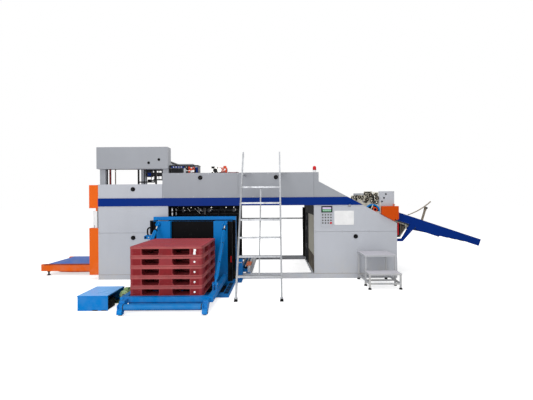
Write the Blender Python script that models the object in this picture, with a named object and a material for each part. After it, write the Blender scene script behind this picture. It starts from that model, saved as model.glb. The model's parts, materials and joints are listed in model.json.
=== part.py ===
# Sheet stacker: a stacking tower, a belt bridge, an infeed cabinet with a sloping conveyor,
# an exit table, a pallet feeder with its pallets, an access ladder and a two-step stool.
# Metres, +Z up. +X runs from the exit table to the infeed conveyor, and the operator side is -Y.
# The origin is on the floor, under the middle cross beam of the machine's base.

import math

import bmesh
import bpy
from mathutils import Matrix, Vector

# Seats and clearances
SEAT = 0.0003            # gap kept between pieces that rest on each other
WELD = 0.001             # overlap of solids that are fused into one piece
RUNNING = 0.006          # gap beside a moving piece
PANEL_SEAM = 0.004       # visible joint between two cover panels

# Machine body
BODY_LENGTH = 6.16
BODY_DEPTH = 2.35
TOWER_LENGTH = 1.44
CABINET_LENGTH = 1.71
BASE_HEIGHT = 0.10
BASE_BEAM_WIDTH = 0.10
CHANNEL_WALL = 0.010
PANEL_DEPTH = 0.040
PANEL_SKIN = 0.004
SIDE_PLATE = 0.020
LOWER_PANEL_HEIGHT = 0.86
MIDDLE_PANEL_HEIGHT = 0.55
STRIPE_HEIGHT = 0.165
STRIPE_PROUD = 0.012
BRIDGE_PANEL_HEIGHT = 0.515
TOWER_TOP_PANEL_HEIGHT = 0.285
COVER_SHEET = 0.008
TOP_COVER_WIDTH = 0.34
SEAM_BAR_WIDTH = 0.040
SEAM_BAR_THICK = 0.008

# Tower
COLUMN_SIDE = 0.115
COLUMN_INSET = 0.020
CROSSHEAD_CLEAR_HEIGHT = 0.32    # open height between the top panel and the crosshead
CROSSHEAD_HEIGHT = 0.45
CROSSHEAD_DEPTH = 0.20
CROSSHEAD_OVERHANG = 0.020
CROSSHEAD_CUT = 0.008
REAR_BEAM_RISE = 0.19            # from the crosshead's underside to the rear beam's
REAR_BEAM_HEIGHT = 0.14
STAY_Z = 1.12
STAY_RADIUS = 0.020
LIFT_SHAFT_RADIUS = 0.025
SPROCKET_RADIUS = 0.065
SPROCKET_WIDTH = 0.030
CHAIN_WIDTH = 0.026
CHAIN_THICK = 0.014
CHAIN_SIDE_OFFSET = 0.08         # from the column's inner face to the chain's middle
LIFT_TABLE_HEIGHT = 0.14
LIFT_TABLE_MARGIN = 0.004
LIFT_BEAM_WIDTH = 0.09
LIFT_SLATS = 7
LIFT_DRIVE_PLATE_LENGTH = 0.48
LIFT_DRIVE_PLATE_DEPTH = 0.13
LIFT_DRIVE_PLATE_THICK = 0.03
LIFT_GEARBOX_LENGTH = 0.14
LIFT_GEARBOX_DEPTH = 0.11
LIFT_GEARBOX_HEIGHT = 0.20
LIFT_HANGER_WIDTH = 0.05
LIFT_HANGER_HEIGHT = 0.30
LIFT_MOTOR_RADIUS = 0.05
LIFT_MOTOR_DROP = 0.13           # from the rear beam's underside to the motor's axis

# Slope of the infeed end
END_WALL_RISE = 0.325            # height of the slope's upper end above the stripe
END_WALL_LENGTH = 0.10           # from the cabinet's left edge to the top of the slope
SLOPE_FOOT_RISE = 0.1703         # from the covers' seam to the slope's foot, at the right end
SLOPE_BELT_DROP = 0.09
SLOPE_BELT_GAP = 0.20
END_PANEL_TOP = 1.02
LEFT_PANEL_BACK = 0.20
LEFT_PANEL_DROP = 0.14
LEFT_WALL_THICK = 0.030

# Rollers and belts
DRUM_RADIUS = 0.055
BELT_THICK = 0.006
BELT_WIDTH = 0.16
BELT_COUNT = 5
BRIDGE_BELT_DROP = 0.16          # belt surface under the bridge's top
IDLER_RADIUS = 0.030
BRIDGE_IDLER_COUNT = 2

# Infeed conveyor
CONVEYOR_SLOPE = 0.336
CONVEYOR_TOP_Z = 1.384           # top edge of its side frame at the cabinet's right end
CONVEYOR_REACH = 1.895           # from the cabinet's right end to the conveyor's low end
CONVEYOR_INSIDE = 0.62           # how far it runs back into the cabinet
CONVEYOR_WIDTH = 1.80
CONVEYOR_FRAME_HEIGHT = 0.147
CONVEYOR_DEEP_HEIGHT = 0.169
CONVEYOR_DEEP_LENGTH = 1.10      # deeper part of the frame, from the cabinet outwards
CONVEYOR_FRAME_THICK = 0.030
STRAP_WIDTH = 0.06
STRAP_WALL_Z = 0.745
STRAP_FOOT = 0.22
STRAP_BEND = 0.02
STRAP_REACH = 0.46
STRAP_SPREAD = 0.13              # where it meets the side frame
STRAP_THICK = 0.045
RETURN_INSET = 0.022             # from the strap and frame to the return rollers' side plate
RETURN_PLATE_THICK = 0.012
RETURN_RADIUS = 0.045
# Each return roller's centre: out from the cabinet's right end, and up from the strap's foot
RETURN_ROLLERS = ((0.10, 0.155), (0.20, 0.275), (0.075, 0.325))
STUB_RADIUS = 0.035
CONVEYOR_DRUM_DROP = 0.070
CONVEYOR_IDLER_COUNT = 2
HEAD_PLATE_LENGTH = 0.32
HEAD_PLATE_TOP = 1.787
HEAD_GUARD_TOP = 1.480
HEAD_GUARD_THICK = 0.105
HEAD_GUARD_LENGTH = 0.345
HEAD_GUARD_CORNER = 0.090
HEAD_GUARD_OVERHANG = 0.020
HEAD_GUARD_LIFT = 0.004
GEAR_PLATE_LENGTH = 0.58
GEAR_PLATE_RISE = 0.13
GEAR_STRIP = 0.040               # strip along the slope that carries the brackets
GEAR_THICK = 0.010
GEAR_TAPER = 0.012
# Each bracket's start and end along the gear plate, and its top above the slope at the plate's start
GEAR_BRACKETS = ((0.0, 0.42, 0.065), (0.445, 0.787, 0.147), (0.835, 0.99, 0.122))
# Each pulley's place along the gear plate, its height above the slope there, and its radius
GEAR_PULLEYS = (
    (0.104, 0.030, 0.030), (0.287, 0.030, 0.036), (0.385, -0.010, 0.024),
    (0.514, 0.097, 0.036), (0.680, 0.067, 0.046), (0.560, -0.018, 0.042), (0.712, -0.045, 0.034),
    (0.862, 0.080, 0.032), (0.910, 0.006, 0.040), (0.890, -0.078, 0.036),
)
# A pulley's section: distance out from its bracket, and share of its radius
PULLEY_STEPS = ((0.0, 0.55), (0.012, 0.55), (0.014, 1.0), (0.030, 0.84), (0.046, 1.0))
PRESS_ROLLER_RADIUS = 0.050
PRESS_PLATE_LEFT = 0.13          # the bearing plates' ends, from the head's middle
PRESS_PLATE_RIGHT = 0.12
PRESS_PLATE_FOOT = 0.035
PRESS_PLATE_RISE = 0.23
PRESS_PLATE_TAPER = 0.02         # the plates' top rises this much from the middle to the right
PRESS_ROLLERS = ((0.0, 0.020), (-0.10, 0.090), (0.08, 0.130))

# Sheet guide on the conveyor
GUIDE_POST_X = 0.64              # along from the cabinet's right end
GUIDE_POST_HEIGHT = 0.27
GUIDE_POST_SIDE = 0.036
GUIDE_ARM_THICK = 0.016
GUIDE_ARM_WIDTH = 0.040
GUIDE_PIN_RADIUS = 0.009
GUIDE_HUB_RADIUS = 0.026
GUIDE_HUB_LIFT = 0.007           # from the hub to the strip's underside
GUIDE_PIN_CLEARANCE = 0.0015
GUIDE_ARC_RADIUS = 1.36
GUIDE_ARM_TILT = math.radians(35.0)
GUIDE_TAIL = 0.40                # along the strip, from the hub down to its tail
GUIDE_TIP = 0.17
GUIDE_ARC_STEPS = 9
GUIDE_EAR_THICK = 0.008
GUIDE_EAR_HALF = 0.016

# Exit end
EXIT_GUARD_LENGTH = 0.187
EXIT_GUARD_DEPTH = 0.24
EXIT_GUARD_LOW_HEIGHT = 0.965
EXIT_GUARD_GAP = 0.41
EXIT_GUARD_TOP_HEIGHT = 0.478
CURTAIN_POST = 0.045
TABLE_LENGTH = 1.489
TABLE_FRONT_Y = -0.735
TABLE_WIDTH = 1.07
TABLE_HEIGHT = 0.240
TABLE_BEAM_HEIGHT = 0.148
TABLE_BEAM_WIDTH = 0.060
TABLE_END_OVERHANG = 0.110
TABLE_DECK_THICK = 0.012
TABLE_FOOT_INSET = 0.15
FOOT_RADIUS = 0.016
FOOT_PAD_RADIUS = 0.038
FOOT_PAD_HEIGHT = 0.014

# Pallet bay under the bridge
BAY_SCREEN_Y = -0.62
BAY_SCREEN_THICK = 0.012
BAY_RIGHT = -0.170
TRANSFER_LEFT = -0.55
TRANSFER_RIGHT = 0.04
TRANSFER_RAIL = 0.050
TRANSFER_HEIGHT = 0.140
TRANSFER_REACH = 0.58            # from the bay screen to the back ends of the chain tracks
TRANSFER_TRACK = 0.050
TRANSFER_TRACK_GAP = 0.010       # beside the bay screen's right edge

# Pallet feeder
FEEDER_X = -1.03
PORTAL_HALF = 0.815
PORTAL_POST = 0.050
PORTAL_DEPTH = 0.120
PORTAL_HEIGHT = 1.300
PORTAL_BEAM_HEIGHT = 0.065
PORTAL_STANDOFF = 0.150          # from the machine's front face to the portal's back
MAST_OUTER = 0.680
MAST_WIDTH = 0.265
MAST_DEPTH = 0.220
MAST_TOP = 1.220
GUIDE_CHANNEL_WALL = 0.012
CHANNEL_SETBACK = 0.03
PANEL_SETBACK = 0.09
FLOOR_FRAME_HEIGHT = 0.060
FLOOR_FRAME_FRONT = 1.340        # from the machine's front face to the floor frame's front
FLOOR_RAIL_WIDTH = 0.100
OUTRIGGER_WIDTH = 0.115
OUTRIGGER_HEIGHT = 0.420
OUTRIGGER_TOP = 0.085
OUTRIGGER_DEPTH = 0.120
OUTRIGGER_GAP = 0.015            # from the outrigger's back to the machine's base
OUTRIGGER_FOOT = 0.310           # from the outrigger's back to the front of its foot plate
OUTRIGGER_PLATE = 0.020
TRAY_THICK = 0.010
ARM_WIDTH = 0.080
ARM_HEIGHT = 0.080
ARM_Z = 0.130
CRADLE_FRONT = 2.025             # from the machine's front face to the cradle's front
BUMPER_RADIUS = 0.040
BUMPER_FORWARD = 0.165
BUMPER_HALF = 0.560
BUMPER_Z = 0.120
FORK_PLATE = 0.012
LINK_START = 0.045
AXLE_END = 0.006
WHEEL_RADIUS = 0.046
WHEEL_WIDTH = 0.040
AXLE_RADIUS = 0.010
WHEEL_BORE = 0.0115
SLAT_WIDTH = 0.130
SLAT_HEIGHT = 0.050
SLAT_PITCH = 0.34
TIE_TOP_Z = 1.165
TIE_FOOT_OUT = 1.130             # from the mast's front face to the tie rod's lower eye
TIE_FOOT_RISE = 0.085            # lower eye above the arm's top
TIE_RADIUS = 0.030
TIE_ROD_RADIUS = 0.018
TIE_ROD_LENGTH = 0.15
EYE_RADIUS = 0.034
EYE_WIDTH = 0.034
EAR_THICK = 0.012
BRACKET_LENGTH = 0.19
BRACKET_Z = 0.860
BRACKET_SIDE = 0.065

# Hydraulic power pack beside the feeder
PACK_LENGTH = 0.45
PACK_DEPTH = 0.55
PACK_HEIGHT = 0.22
PACK_SHEET = 0.005
PACK_BED_REACH = 0.15
PACK_BED_THICK = 0.010
PACK_GAP = 0.200                 # from the cradle's arm to the pack's cover
PACK_SETBACK = 0.045             # behind the cradle's front edge
PUMP_RADIUS = 0.070
PUMP_LENGTH = 0.26
PUMP_RISE = 0.062                # from the floor to the motor's underside
PUMP_FOOT_LENGTH = 0.04
PUMP_FOOT_INSET = 0.03
PUMP_END = 0.012
PUMP_OVERHANG = 0.06             # behind the hood's back wall

# Pallets
PALLET_SIDE = 1.10
PALLET_HEIGHT = 0.150
PALLET_COUNT = 5
PALLET_DECK = 0.032
PALLET_BASE = 0.026
PALLET_CORNER_BLOCK = 0.185
PALLET_MIDDLE_BLOCK = 0.200
PALLET_CORNER_RADIUS = 0.055
PALLET_OFFSET = 0.045            # how far left of the cradle's middle the pallets stand
PALLET_FRONT_GAP = 0.030         # between the cradle's front beam and the pallets

# Ladder
LADDER_X = 0.297
LADDER_WIDTH = 0.765
LADDER_ANGLE = math.radians(60.0)
LADDER_RAIL_LENGTH = 2.92
LADDER_RAIL_DEPTH = 0.060
LADDER_RAIL_WIDTH = 0.028
LADDER_TREAD_STEP = 0.302
LADDER_FIRST_TREAD = 0.37
LADDER_TREADS = 6
LADDER_TREAD_DEPTH = 0.085
LADDER_TREAD_THICK = 0.028
LADDER_STRUT = 0.022
LADDER_FOOT_HEIGHT = 0.055
LADDER_FOOT_SIDE = 0.050
LADDER_TOP_GAP = 0.087
LADDER_HOOK_DROP = 0.06
LADDER_HOOK_THICK = 0.008

# Two-step stool
STOOL_X = 2.54
STOOL_WIDTH = 0.585
STOOL_STEP_RISE = 0.285
STOOL_LOW_DEPTH = 0.310
STOOL_HIGH_DEPTH = 0.530
STOOL_TUBE = 0.030
STOOL_TREAD_THICK = 0.030
STOOL_BACK_GAP = 0.070
STOOL_RAIL_Z = 0.085
STOOL_FOOT_HEIGHT = 0.022
STOOL_FOOT_RADIUS = 0.022
STOOL_TREAD_EDGE = 0.006

# Things on the bridge
BEACON_INSET = 0.030            # from the cabinet's left edge to the beacon's axis
BEACON_SETBACK = 0.060
BEACON_RADIUS = 0.036
BEACON_BASE_HEIGHT = 0.055
BEACON_LENS_HEIGHT = 0.085
VALVE_BOX_X = -1.325
VALVE_BOX_LENGTH = 0.59
VALVE_BOX_DEPTH = 0.22
VALVE_BOX_HEIGHT = 0.165
VALVE_BOX_SHEET = 0.008
VALVES = 4
VALVE_PITCH = 0.058
DRIVE_X = -0.675
DRIVE_GEARBOX = 0.13
DRIVE_MOTOR_RADIUS = 0.055
DRIVE_MOTOR_LENGTH = 0.17

# Controls and latches
LATCH_RADIUS = 0.044
LATCH_PROUD = 0.018
LATCH_DROP = 0.100
CONSOLE_LEFT = 0.146
CONSOLE_WIDTH = 0.230
CONSOLE_HEIGHT = 0.430
CONSOLE_THICK = 0.012
CONSOLE_TOP_DROP = 0.012
SCREEN_HEIGHT = 0.130
SCREEN_THICK = 0.012

# Places that follow from the sizes above
LEFT = -BODY_LENGTH / 2
RIGHT = BODY_LENGTH / 2
FRONT = -BODY_DEPTH / 2
BACK = BODY_DEPTH / 2
TOWER_RIGHT = LEFT + TOWER_LENGTH
CABINET_LEFT = RIGHT - CABINET_LENGTH
SEAM_Z = BASE_HEIGHT + LOWER_PANEL_HEIGHT
STRIPE_Z = SEAM_Z + MIDDLE_PANEL_HEIGHT
STRIPE_TOP = STRIPE_Z + STRIPE_HEIGHT
BRIDGE_TOP = STRIPE_TOP + BRIDGE_PANEL_HEIGHT
TOWER_PANEL_TOP = STRIPE_TOP + TOWER_TOP_PANEL_HEIGHT
CROSSHEAD_Z = TOWER_PANEL_TOP + CROSSHEAD_CLEAR_HEIGHT
COLUMN_LEFT_X = LEFT + COLUMN_INSET
COLUMN_RIGHT_X = TOWER_RIGHT - COLUMN_SIDE
PLATE_FRONT = FRONT + PANEL_DEPTH + SEAT           # outer face of the side plates
PLATE_INNER = PLATE_FRONT + SIDE_PLATE             # inner face of the front side plate
SLOPE_TOP_X = CABINET_LEFT + END_WALL_LENGTH
SLOPE_TOP_Z = STRIPE_TOP + END_WALL_RISE
SLOPE = (SLOPE_TOP_Z - SEAM_Z - SLOPE_FOOT_RISE) / (RIGHT - SLOPE_TOP_X)
FRAME_TOP = BRIDGE_TOP - COVER_SHEET - 2 * SEAT
PORTAL_BACK = FRONT - PORTAL_STANDOFF
PORTAL_FRONT = PORTAL_BACK - PORTAL_DEPTH
MAST_BACK = PORTAL_FRONT - SEAT
MAST_FRONT = MAST_BACK - MAST_DEPTH
CRADLE_Y = FRONT - CRADLE_FRONT
REAR_BEAM_Z = CROSSHEAD_Z + REAR_BEAM_RISE
ARM_TOP = ARM_Z + ARM_HEIGHT
ARM_OUTER = MAST_OUTER
ARM_INNER = ARM_OUTER - ARM_WIDTH
ARM_MIDDLE = ARM_OUTER - ARM_WIDTH / 2


def slope_z(x):
    """Height of the sloping edge of the infeed end above a place along the machine."""
    return SLOPE_TOP_Z - SLOPE * (x - SLOPE_TOP_X)


def slope_x(z):
    """Place along the machine where the sloping edge has a given height."""
    return SLOPE_TOP_X + (SLOPE_TOP_Z - z) / SLOPE


def conveyor_z(x):
    """Height of the top edge of the conveyor's side frame."""
    return CONVEYOR_TOP_Z - CONVEYOR_SLOPE * (x - RIGHT)


CONVEYOR_ANGLE = math.atan(CONVEYOR_SLOPE)

PAINTS = {
    "grey_paint": ((0.60, 0.62, 0.66), 0.45, 0.0),
    "blue_stripe": ((0.03, 0.09, 0.38), 0.40, 0.0),
    "orange_paint": ((0.90, 0.23, 0.04), 0.45, 0.0),
    "feeder_blue": ((0.03, 0.30, 0.66), 0.42, 0.0),
    "black_paint": ((0.02, 0.02, 0.022), 0.55, 0.0),
    "steel": ((0.55, 0.55, 0.55), 0.35, 1.0),
    "dark_steel": ((0.12, 0.12, 0.13), 0.50, 0.8),
    "belt_rubber": ((0.05, 0.08, 0.07), 0.75, 0.0),
    "pallet_plastic": ((0.42, 0.03, 0.05), 0.60, 0.0),
    "aluminium": ((0.80, 0.80, 0.80), 0.35, 1.0),
    "black_rubber": ((0.02, 0.02, 0.02), 0.85, 0.0),
    "white_plastic": ((0.85, 0.85, 0.83), 0.50, 0.0),
    "red_lens": ((0.80, 0.02, 0.02), 0.15, 0.0),
    "pump_green": ((0.30, 0.42, 0.25), 0.50, 0.0),
}


def material(name):
    """The named paint or metal, made once."""
    found = bpy.data.materials.get(name)
    if found:
        return found
    colour, roughness, metallic = PAINTS[name]
    made = bpy.data.materials.new(name)
    made.use_nodes = True
    shader = made.node_tree.nodes["Principled BSDF"]
    shader.inputs["Base Color"].default_value = (*colour, 1.0)
    shader.inputs["Roughness"].default_value = roughness
    shader.inputs["Metallic"].default_value = metallic
    return made


def node(name, shape, paint, smooth=False):
    """One named object from a bmesh, which is freed."""
    bmesh.ops.recalc_face_normals(shape, faces=shape.faces)
    mesh = bpy.data.meshes.new(name)
    shape.to_mesh(mesh)
    shape.free()
    made = bpy.data.objects.new(name, mesh)
    bpy.context.scene.collection.objects.link(made)
    made.data.materials.append(material(paint))
    if smooth:
        soft_shading(made)
    return made


def soft_shading(made):
    made.data.shade_smooth()
    made.data.set_sharp_from_angle(angle=math.radians(35))


def place(axis, along, across, up):
    """A point from its place along an extrusion axis and its two outline coordinates."""
    return {"X": (along, across, up), "Y": (across, along, up), "Z": (across, up, along)}[axis]


def prism(shape, outline, axis, low, high):
    """An outline extruded along an axis. The outline is (x, z) for Y, (y, z) for X, (x, y) for Z."""
    start = [shape.verts.new(place(axis, low, *point)) for point in outline]
    face = shape.faces.new(start)
    moved = bmesh.ops.extrude_face_region(shape, geom=[face], use_keep_orig=True)
    ends = [item for item in moved["geom"] if isinstance(item, bmesh.types.BMVert)]
    bmesh.ops.translate(shape, verts=ends, vec=Vector(place(axis, high - low, 0.0, 0.0)))
    return start + ends


def block(shape, low, high):
    """A box between two corners."""
    outline = [(low[0], low[1]), (high[0], low[1]), (high[0], high[1]), (low[0], high[1])]
    return prism(shape, outline, "Z", low[2], high[2])


def circle(centre, radius, sides, turn=0.0):
    """Points of a round outline."""
    return [
        (
            centre[0] + radius * math.cos(turn + 2 * math.pi * i / sides),
            centre[1] + radius * math.sin(turn + 2 * math.pi * i / sides),
        )
        for i in range(sides)
    ]


def drum(shape, axis, centre, radius, low, high, sides=20):
    """A round bar along an axis."""
    return prism(shape, circle(centre, radius, sides, math.pi / sides), axis, low, high)


def tube(shape, outer, inner, axis, low, high):
    """A closed band between two outlines that have as many points each."""
    count = len(outer)
    rings = [
        [shape.verts.new(place(axis, along, *point)) for point in outline]
        for outline, along in ((outer, low), (outer, high), (inner, high), (inner, low))
    ]
    for ring, following in zip(rings, rings[1:] + rings[:1]):
        for i in range(count):
            j = (i + 1) % count
            shape.faces.new((ring[i], ring[j], following[j], following[i]))


def shrunk(outline, distance):
    """The outline moved inwards by a distance, its points in counter-clockwise order."""
    points = [Vector(point) for point in outline]
    area = sum(a.cross(b) for a, b in zip(points, points[1:] + points[:1]))
    if area < 0:
        points.reverse()
    moved = []
    for i, point in enumerate(points):
        before = (point - points[i - 1]).normalized()
        after = (points[(i + 1) % len(points)] - point).normalized()
        left, right = Vector((-before.y, before.x)), Vector((-after.y, after.x))
        moved.append(point + (left + right) * distance / (1.0 + left.dot(right)))
    return points, moved


def pan(shape, outline, face_y, inwards):
    """A sheet-metal cover: a flat face with edges folded back, open behind."""
    outer, inner = shrunk(outline, PANEL_SKIN)
    back = face_y + inwards * PANEL_DEPTH
    floor = face_y + inwards * PANEL_SKIN
    rings = [
        [shape.verts.new(place("Y", y, *point)) for point in ring]
        for ring, y in ((outer, face_y), (outer, back), (inner, back), (inner, floor))
    ]
    count = len(outer)
    for ring, following in zip(rings, rings[1:]):
        for i in range(count):
            j = (i + 1) % count
            shape.faces.new((ring[i], ring[j], following[j], following[i]))
    shape.faces.new(rings[0])
    shape.faces.new(rings[-1])


def rectangle(left, right, low, high):
    return [(left, low), (right, low), (right, high), (left, high)]


def bar(shape, start, end, width, depth):
    """A straight bar of rectangular section; its width is level."""
    start, end = Vector(start), Vector(end)
    along = (end - start).normalized()
    level = along.cross(Vector((0, 0, 1)))
    level = level.normalized() if level.length > 1e-6 else Vector((1, 0, 0))
    upper = level.cross(along).normalized()
    corners = [
        shape.verts.new(point + level * a * width / 2 + upper * b * depth / 2)
        for point in (start, end)
        for a, b in ((-1, -1), (1, -1), (1, 1), (-1, 1))
    ]
    near, far = corners[:4], corners[4:]
    shape.faces.new(near)
    shape.faces.new(far)
    for i in range(4):
        j = (i + 1) % 4
        shape.faces.new((near[i], near[j], far[j], far[i]))


def turned(shape, start, direction, profile, sides=16):
    """A turned piece: profile is (distance along, radius) from one end to the other."""
    start, direction = Vector(start), Vector(direction).normalized()
    across = direction.orthogonal().normalized()
    other = direction.cross(across)
    rings = []
    for along, radius in profile:
        centre = start + direction * along
        ring = [
            shape.verts.new(
                centre
                + across * radius * math.cos(2 * math.pi * i / sides)
                + other * radius * math.sin(2 * math.pi * i / sides)
            )
            for i in range(sides)
        ]
        rings.append(ring)
    for ring, following in zip(rings, rings[1:]):
        for i in range(sides):
            j = (i + 1) % sides
            shape.faces.new((ring[i], ring[j], following[j], following[i]))
    shape.faces.new(rings[0])
    shape.faces.new(rings[-1])


def boolean(target, tool_shape, operation):
    """Cuts or joins a bmesh tool into an object's mesh, with the exact solver."""
    tool = node(target.name + "_tool", tool_shape, "steel")
    modifier = target.modifiers.new("cut", "BOOLEAN")
    modifier.operation = operation
    modifier.solver = "EXACT"
    modifier.object = tool
    graph = bpy.context.evaluated_depsgraph_get()
    result = bpy.data.meshes.new_from_object(target.evaluated_get(graph))
    target.modifiers.remove(modifier)
    target.data = result
    bpy.data.objects.remove(tool)
    return target


def fuse(name, paint, solids, smooth=False):
    """One piece from solids that overlap where they are welded."""
    made = node(name, solids[0], paint)
    for solid in solids[1:]:
        boolean(made, solid, "UNION")
    if smooth:
        soft_shading(made)
    return made


def fresh(make, *arguments):
    """A new bmesh with one solid in it."""
    shape = bmesh.new()
    make(shape, *arguments)
    return shape


def soften(made, width, segments=2):
    """Rounds an object's edges as a live Bevel."""
    modifier = made.modifiers.new("edges", "BEVEL")
    modifier.width = width
    modifier.segments = segments
    modifier.limit_method = "ANGLE"
    return made


def y_span(side, outer, inner):
    """A low and high Y for a piece given by distances from the machine's centre plane."""
    return sorted((side * outer, side * inner))


# Base

def base():
    solids = []
    height, width, wall = BASE_HEIGHT, BASE_BEAM_WIDTH, CHANNEL_WALL
    for side in (-1, 1):
        outer = side * BODY_DEPTH / 2
        inner = outer - side * width
        web = outer - side * wall
        channel = [
            (outer, 0.0), (inner, 0.0), (inner, wall), (web, wall),
            (web, height - wall), (inner, height - wall), (inner, height), (outer, height),
        ]
        solids.append(fresh(prism, channel, "X", LEFT, RIGHT))
    reach = BODY_DEPTH / 2 - wall + WELD
    half = width / 2
    for x in (LEFT + half, TOWER_RIGHT, 0.0, CABINET_LEFT + half, RIGHT - half):
        solids.append(fresh(block, (x - half, -reach, 0.0), (x + half, reach, height)))
    fuse("base_frame", "grey_paint", solids)


# Tower

LIFT_SHAFT_Z = CROSSHEAD_Z + CROSSHEAD_HEIGHT / 2
CROSSHEAD_INNER = BODY_DEPTH / 2 + CROSSHEAD_OVERHANG - CROSSHEAD_DEPTH
SPROCKET_Y = CROSSHEAD_INNER - 0.06
LIFT_TABLE_Z = BASE_HEIGHT + SEAT
LIFT_TABLE_TOP = LIFT_TABLE_Z + LIFT_TABLE_HEIGHT


def chamfered(left, right, low, high, cut):
    """A rectangle with its corners cut off."""
    return [
        (left + cut, low), (right - cut, low), (right, low + cut), (right, high - cut),
        (right - cut, high), (left + cut, high), (left, high - cut), (left, low + cut),
    ]


def tower_frame(name, side):
    """Two columns with the front crosshead or the rear beam."""
    if side < 0:
        head_low, head_high = CROSSHEAD_Z, CROSSHEAD_Z + CROSSHEAD_HEIGHT
    else:
        head_low, head_high = REAR_BEAM_Z, REAR_BEAM_Z + REAR_BEAM_HEIGHT
    outline = chamfered(
        LEFT - CROSSHEAD_OVERHANG, TOWER_RIGHT + CROSSHEAD_OVERHANG / 2, head_low, head_high,
        CROSSHEAD_CUT,
    )
    y = y_span(side, BODY_DEPTH / 2 + CROSSHEAD_OVERHANG, CROSSHEAD_INNER)
    solids = [fresh(prism, outline, "Y", y[0], y[1])]
    outer = -PLATE_FRONT
    y = y_span(side, outer, outer - COLUMN_SIDE)
    for x in (COLUMN_LEFT_X, COLUMN_RIGHT_X):
        low, high = (x, y[0], BASE_HEIGHT + SEAT), (x + COLUMN_SIDE, y[1], head_low + WELD)
        solids.append(fresh(block, low, high))
    fuse(name, "grey_paint", solids)


def rear_stay():
    """A round stay from the rear column to the cabinet."""
    y = -PLATE_FRONT - COLUMN_SIDE / 2
    stay = fresh(drum, "X", (y, STAY_Z), STAY_RADIUS, TOWER_RIGHT + SEAT, CABINET_LEFT - SEAT, 12)
    node("rear_stay", stay, "aluminium", smooth=True)


def chain_places():
    """X of the two lift shafts."""
    return (
        COLUMN_LEFT_X + COLUMN_SIDE + CHAIN_SIDE_OFFSET,
        COLUMN_RIGHT_X - CHAIN_SIDE_OFFSET,
    )


def lift_gear(name, x, side_x):
    """A lift shaft with two sprockets, and on each sprocket a chain down to the lift table."""
    profile = [(0.0, LIFT_SHAFT_RADIUS)]
    reach = CROSSHEAD_INNER - SEAT
    half = SPROCKET_WIDTH / 2
    for y in (-SPROCKET_Y, SPROCKET_Y):
        for edge, radius in (
            (y - half, LIFT_SHAFT_RADIUS), (y - half, SPROCKET_RADIUS),
            (y + half, SPROCKET_RADIUS), (y + half, LIFT_SHAFT_RADIUS),
        ):
            profile.append((edge + reach, radius))
    profile.append((2 * reach, LIFT_SHAFT_RADIUS))
    solids = [fresh(turned, (x, -reach, LIFT_SHAFT_Z), (0, 1, 0), profile, 14)]
    near = x + side_x * (SPROCKET_RADIUS - 2 * WELD)
    low, high = sorted((near, near + side_x * CHAIN_THICK))
    for y in (-SPROCKET_Y, SPROCKET_Y):
        solids.append(
            fresh(
                block,
                (low, y - CHAIN_WIDTH / 2, LIFT_TABLE_TOP + SEAT),
                (high, y + CHAIN_WIDTH / 2, LIFT_SHAFT_Z + SPROCKET_RADIUS / 3),
            )
        )
    fuse(name, "dark_steel", solids, smooth=True)


def lift_table():
    """A deck of slats on two end beams that reach the chains."""
    left, right = (
        x + side * (SPROCKET_RADIUS + CHAIN_THICK + LIFT_TABLE_MARGIN)
        for x, side in zip(chain_places(), (-1, 1))
    )
    reach = SPROCKET_Y + CHAIN_WIDTH
    solids = []
    for low in (left, right - LIFT_BEAM_WIDTH):
        near, far = (low, -reach, LIFT_TABLE_Z), (low + LIFT_BEAM_WIDTH, reach, LIFT_TABLE_TOP)
        solids.append(fresh(block, near, far))
    pitch = (2 * reach - LIFT_BEAM_WIDTH) / (LIFT_SLATS - 1)
    for i in range(LIFT_SLATS):
        y = -reach + i * pitch + WELD * (1 if i == 0 else -1)
        low = (left + LIFT_BEAM_WIDTH - WELD, y, LIFT_TABLE_Z + LIFT_TABLE_HEIGHT / 2)
        high = (right - LIFT_BEAM_WIDTH + WELD, y + LIFT_BEAM_WIDTH, LIFT_TABLE_TOP - WELD)
        solids.append(fresh(block, low, high))
    fuse("lift_table", "feeder_blue", solids)


def lift_drive():
    """Gear motor hung under the rear beam, as seen through the tower's top."""
    left = COLUMN_LEFT_X + COLUMN_SIDE + RUNNING
    right = left + LIFT_DRIVE_PLATE_LENGTH
    middle = CROSSHEAD_INNER + CROSSHEAD_DEPTH / 2
    top = REAR_BEAM_Z - SEAT

    def hung(x_low, x_high, depth, height):
        low = (x_low, middle - depth / 2, top - height)
        return fresh(block, low, (x_high, middle + depth / 2, top - WELD))

    gearbox = left + LIFT_HANGER_WIDTH / 2
    gearbox_end = gearbox + LIFT_GEARBOX_LENGTH
    hanger = right - LIFT_HANGER_WIDTH
    plate = (left, middle - LIFT_DRIVE_PLATE_DEPTH / 2, top - LIFT_DRIVE_PLATE_THICK)
    solids = [
        fresh(block, plate, (right, middle + LIFT_DRIVE_PLATE_DEPTH / 2, top)),
        hung(gearbox, gearbox_end, LIFT_GEARBOX_DEPTH, LIFT_GEARBOX_HEIGHT),
        hung(hanger - WELD, right - WELD, LIFT_GEARBOX_DEPTH - WELD, LIFT_HANGER_HEIGHT),
        fresh(
            drum, "X", (middle, top - LIFT_MOTOR_DROP), LIFT_MOTOR_RADIUS, gearbox_end - WELD,
            hanger, 16,
        ),
    ]
    fuse("lift_drive", "dark_steel", solids)


# Covers

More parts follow.
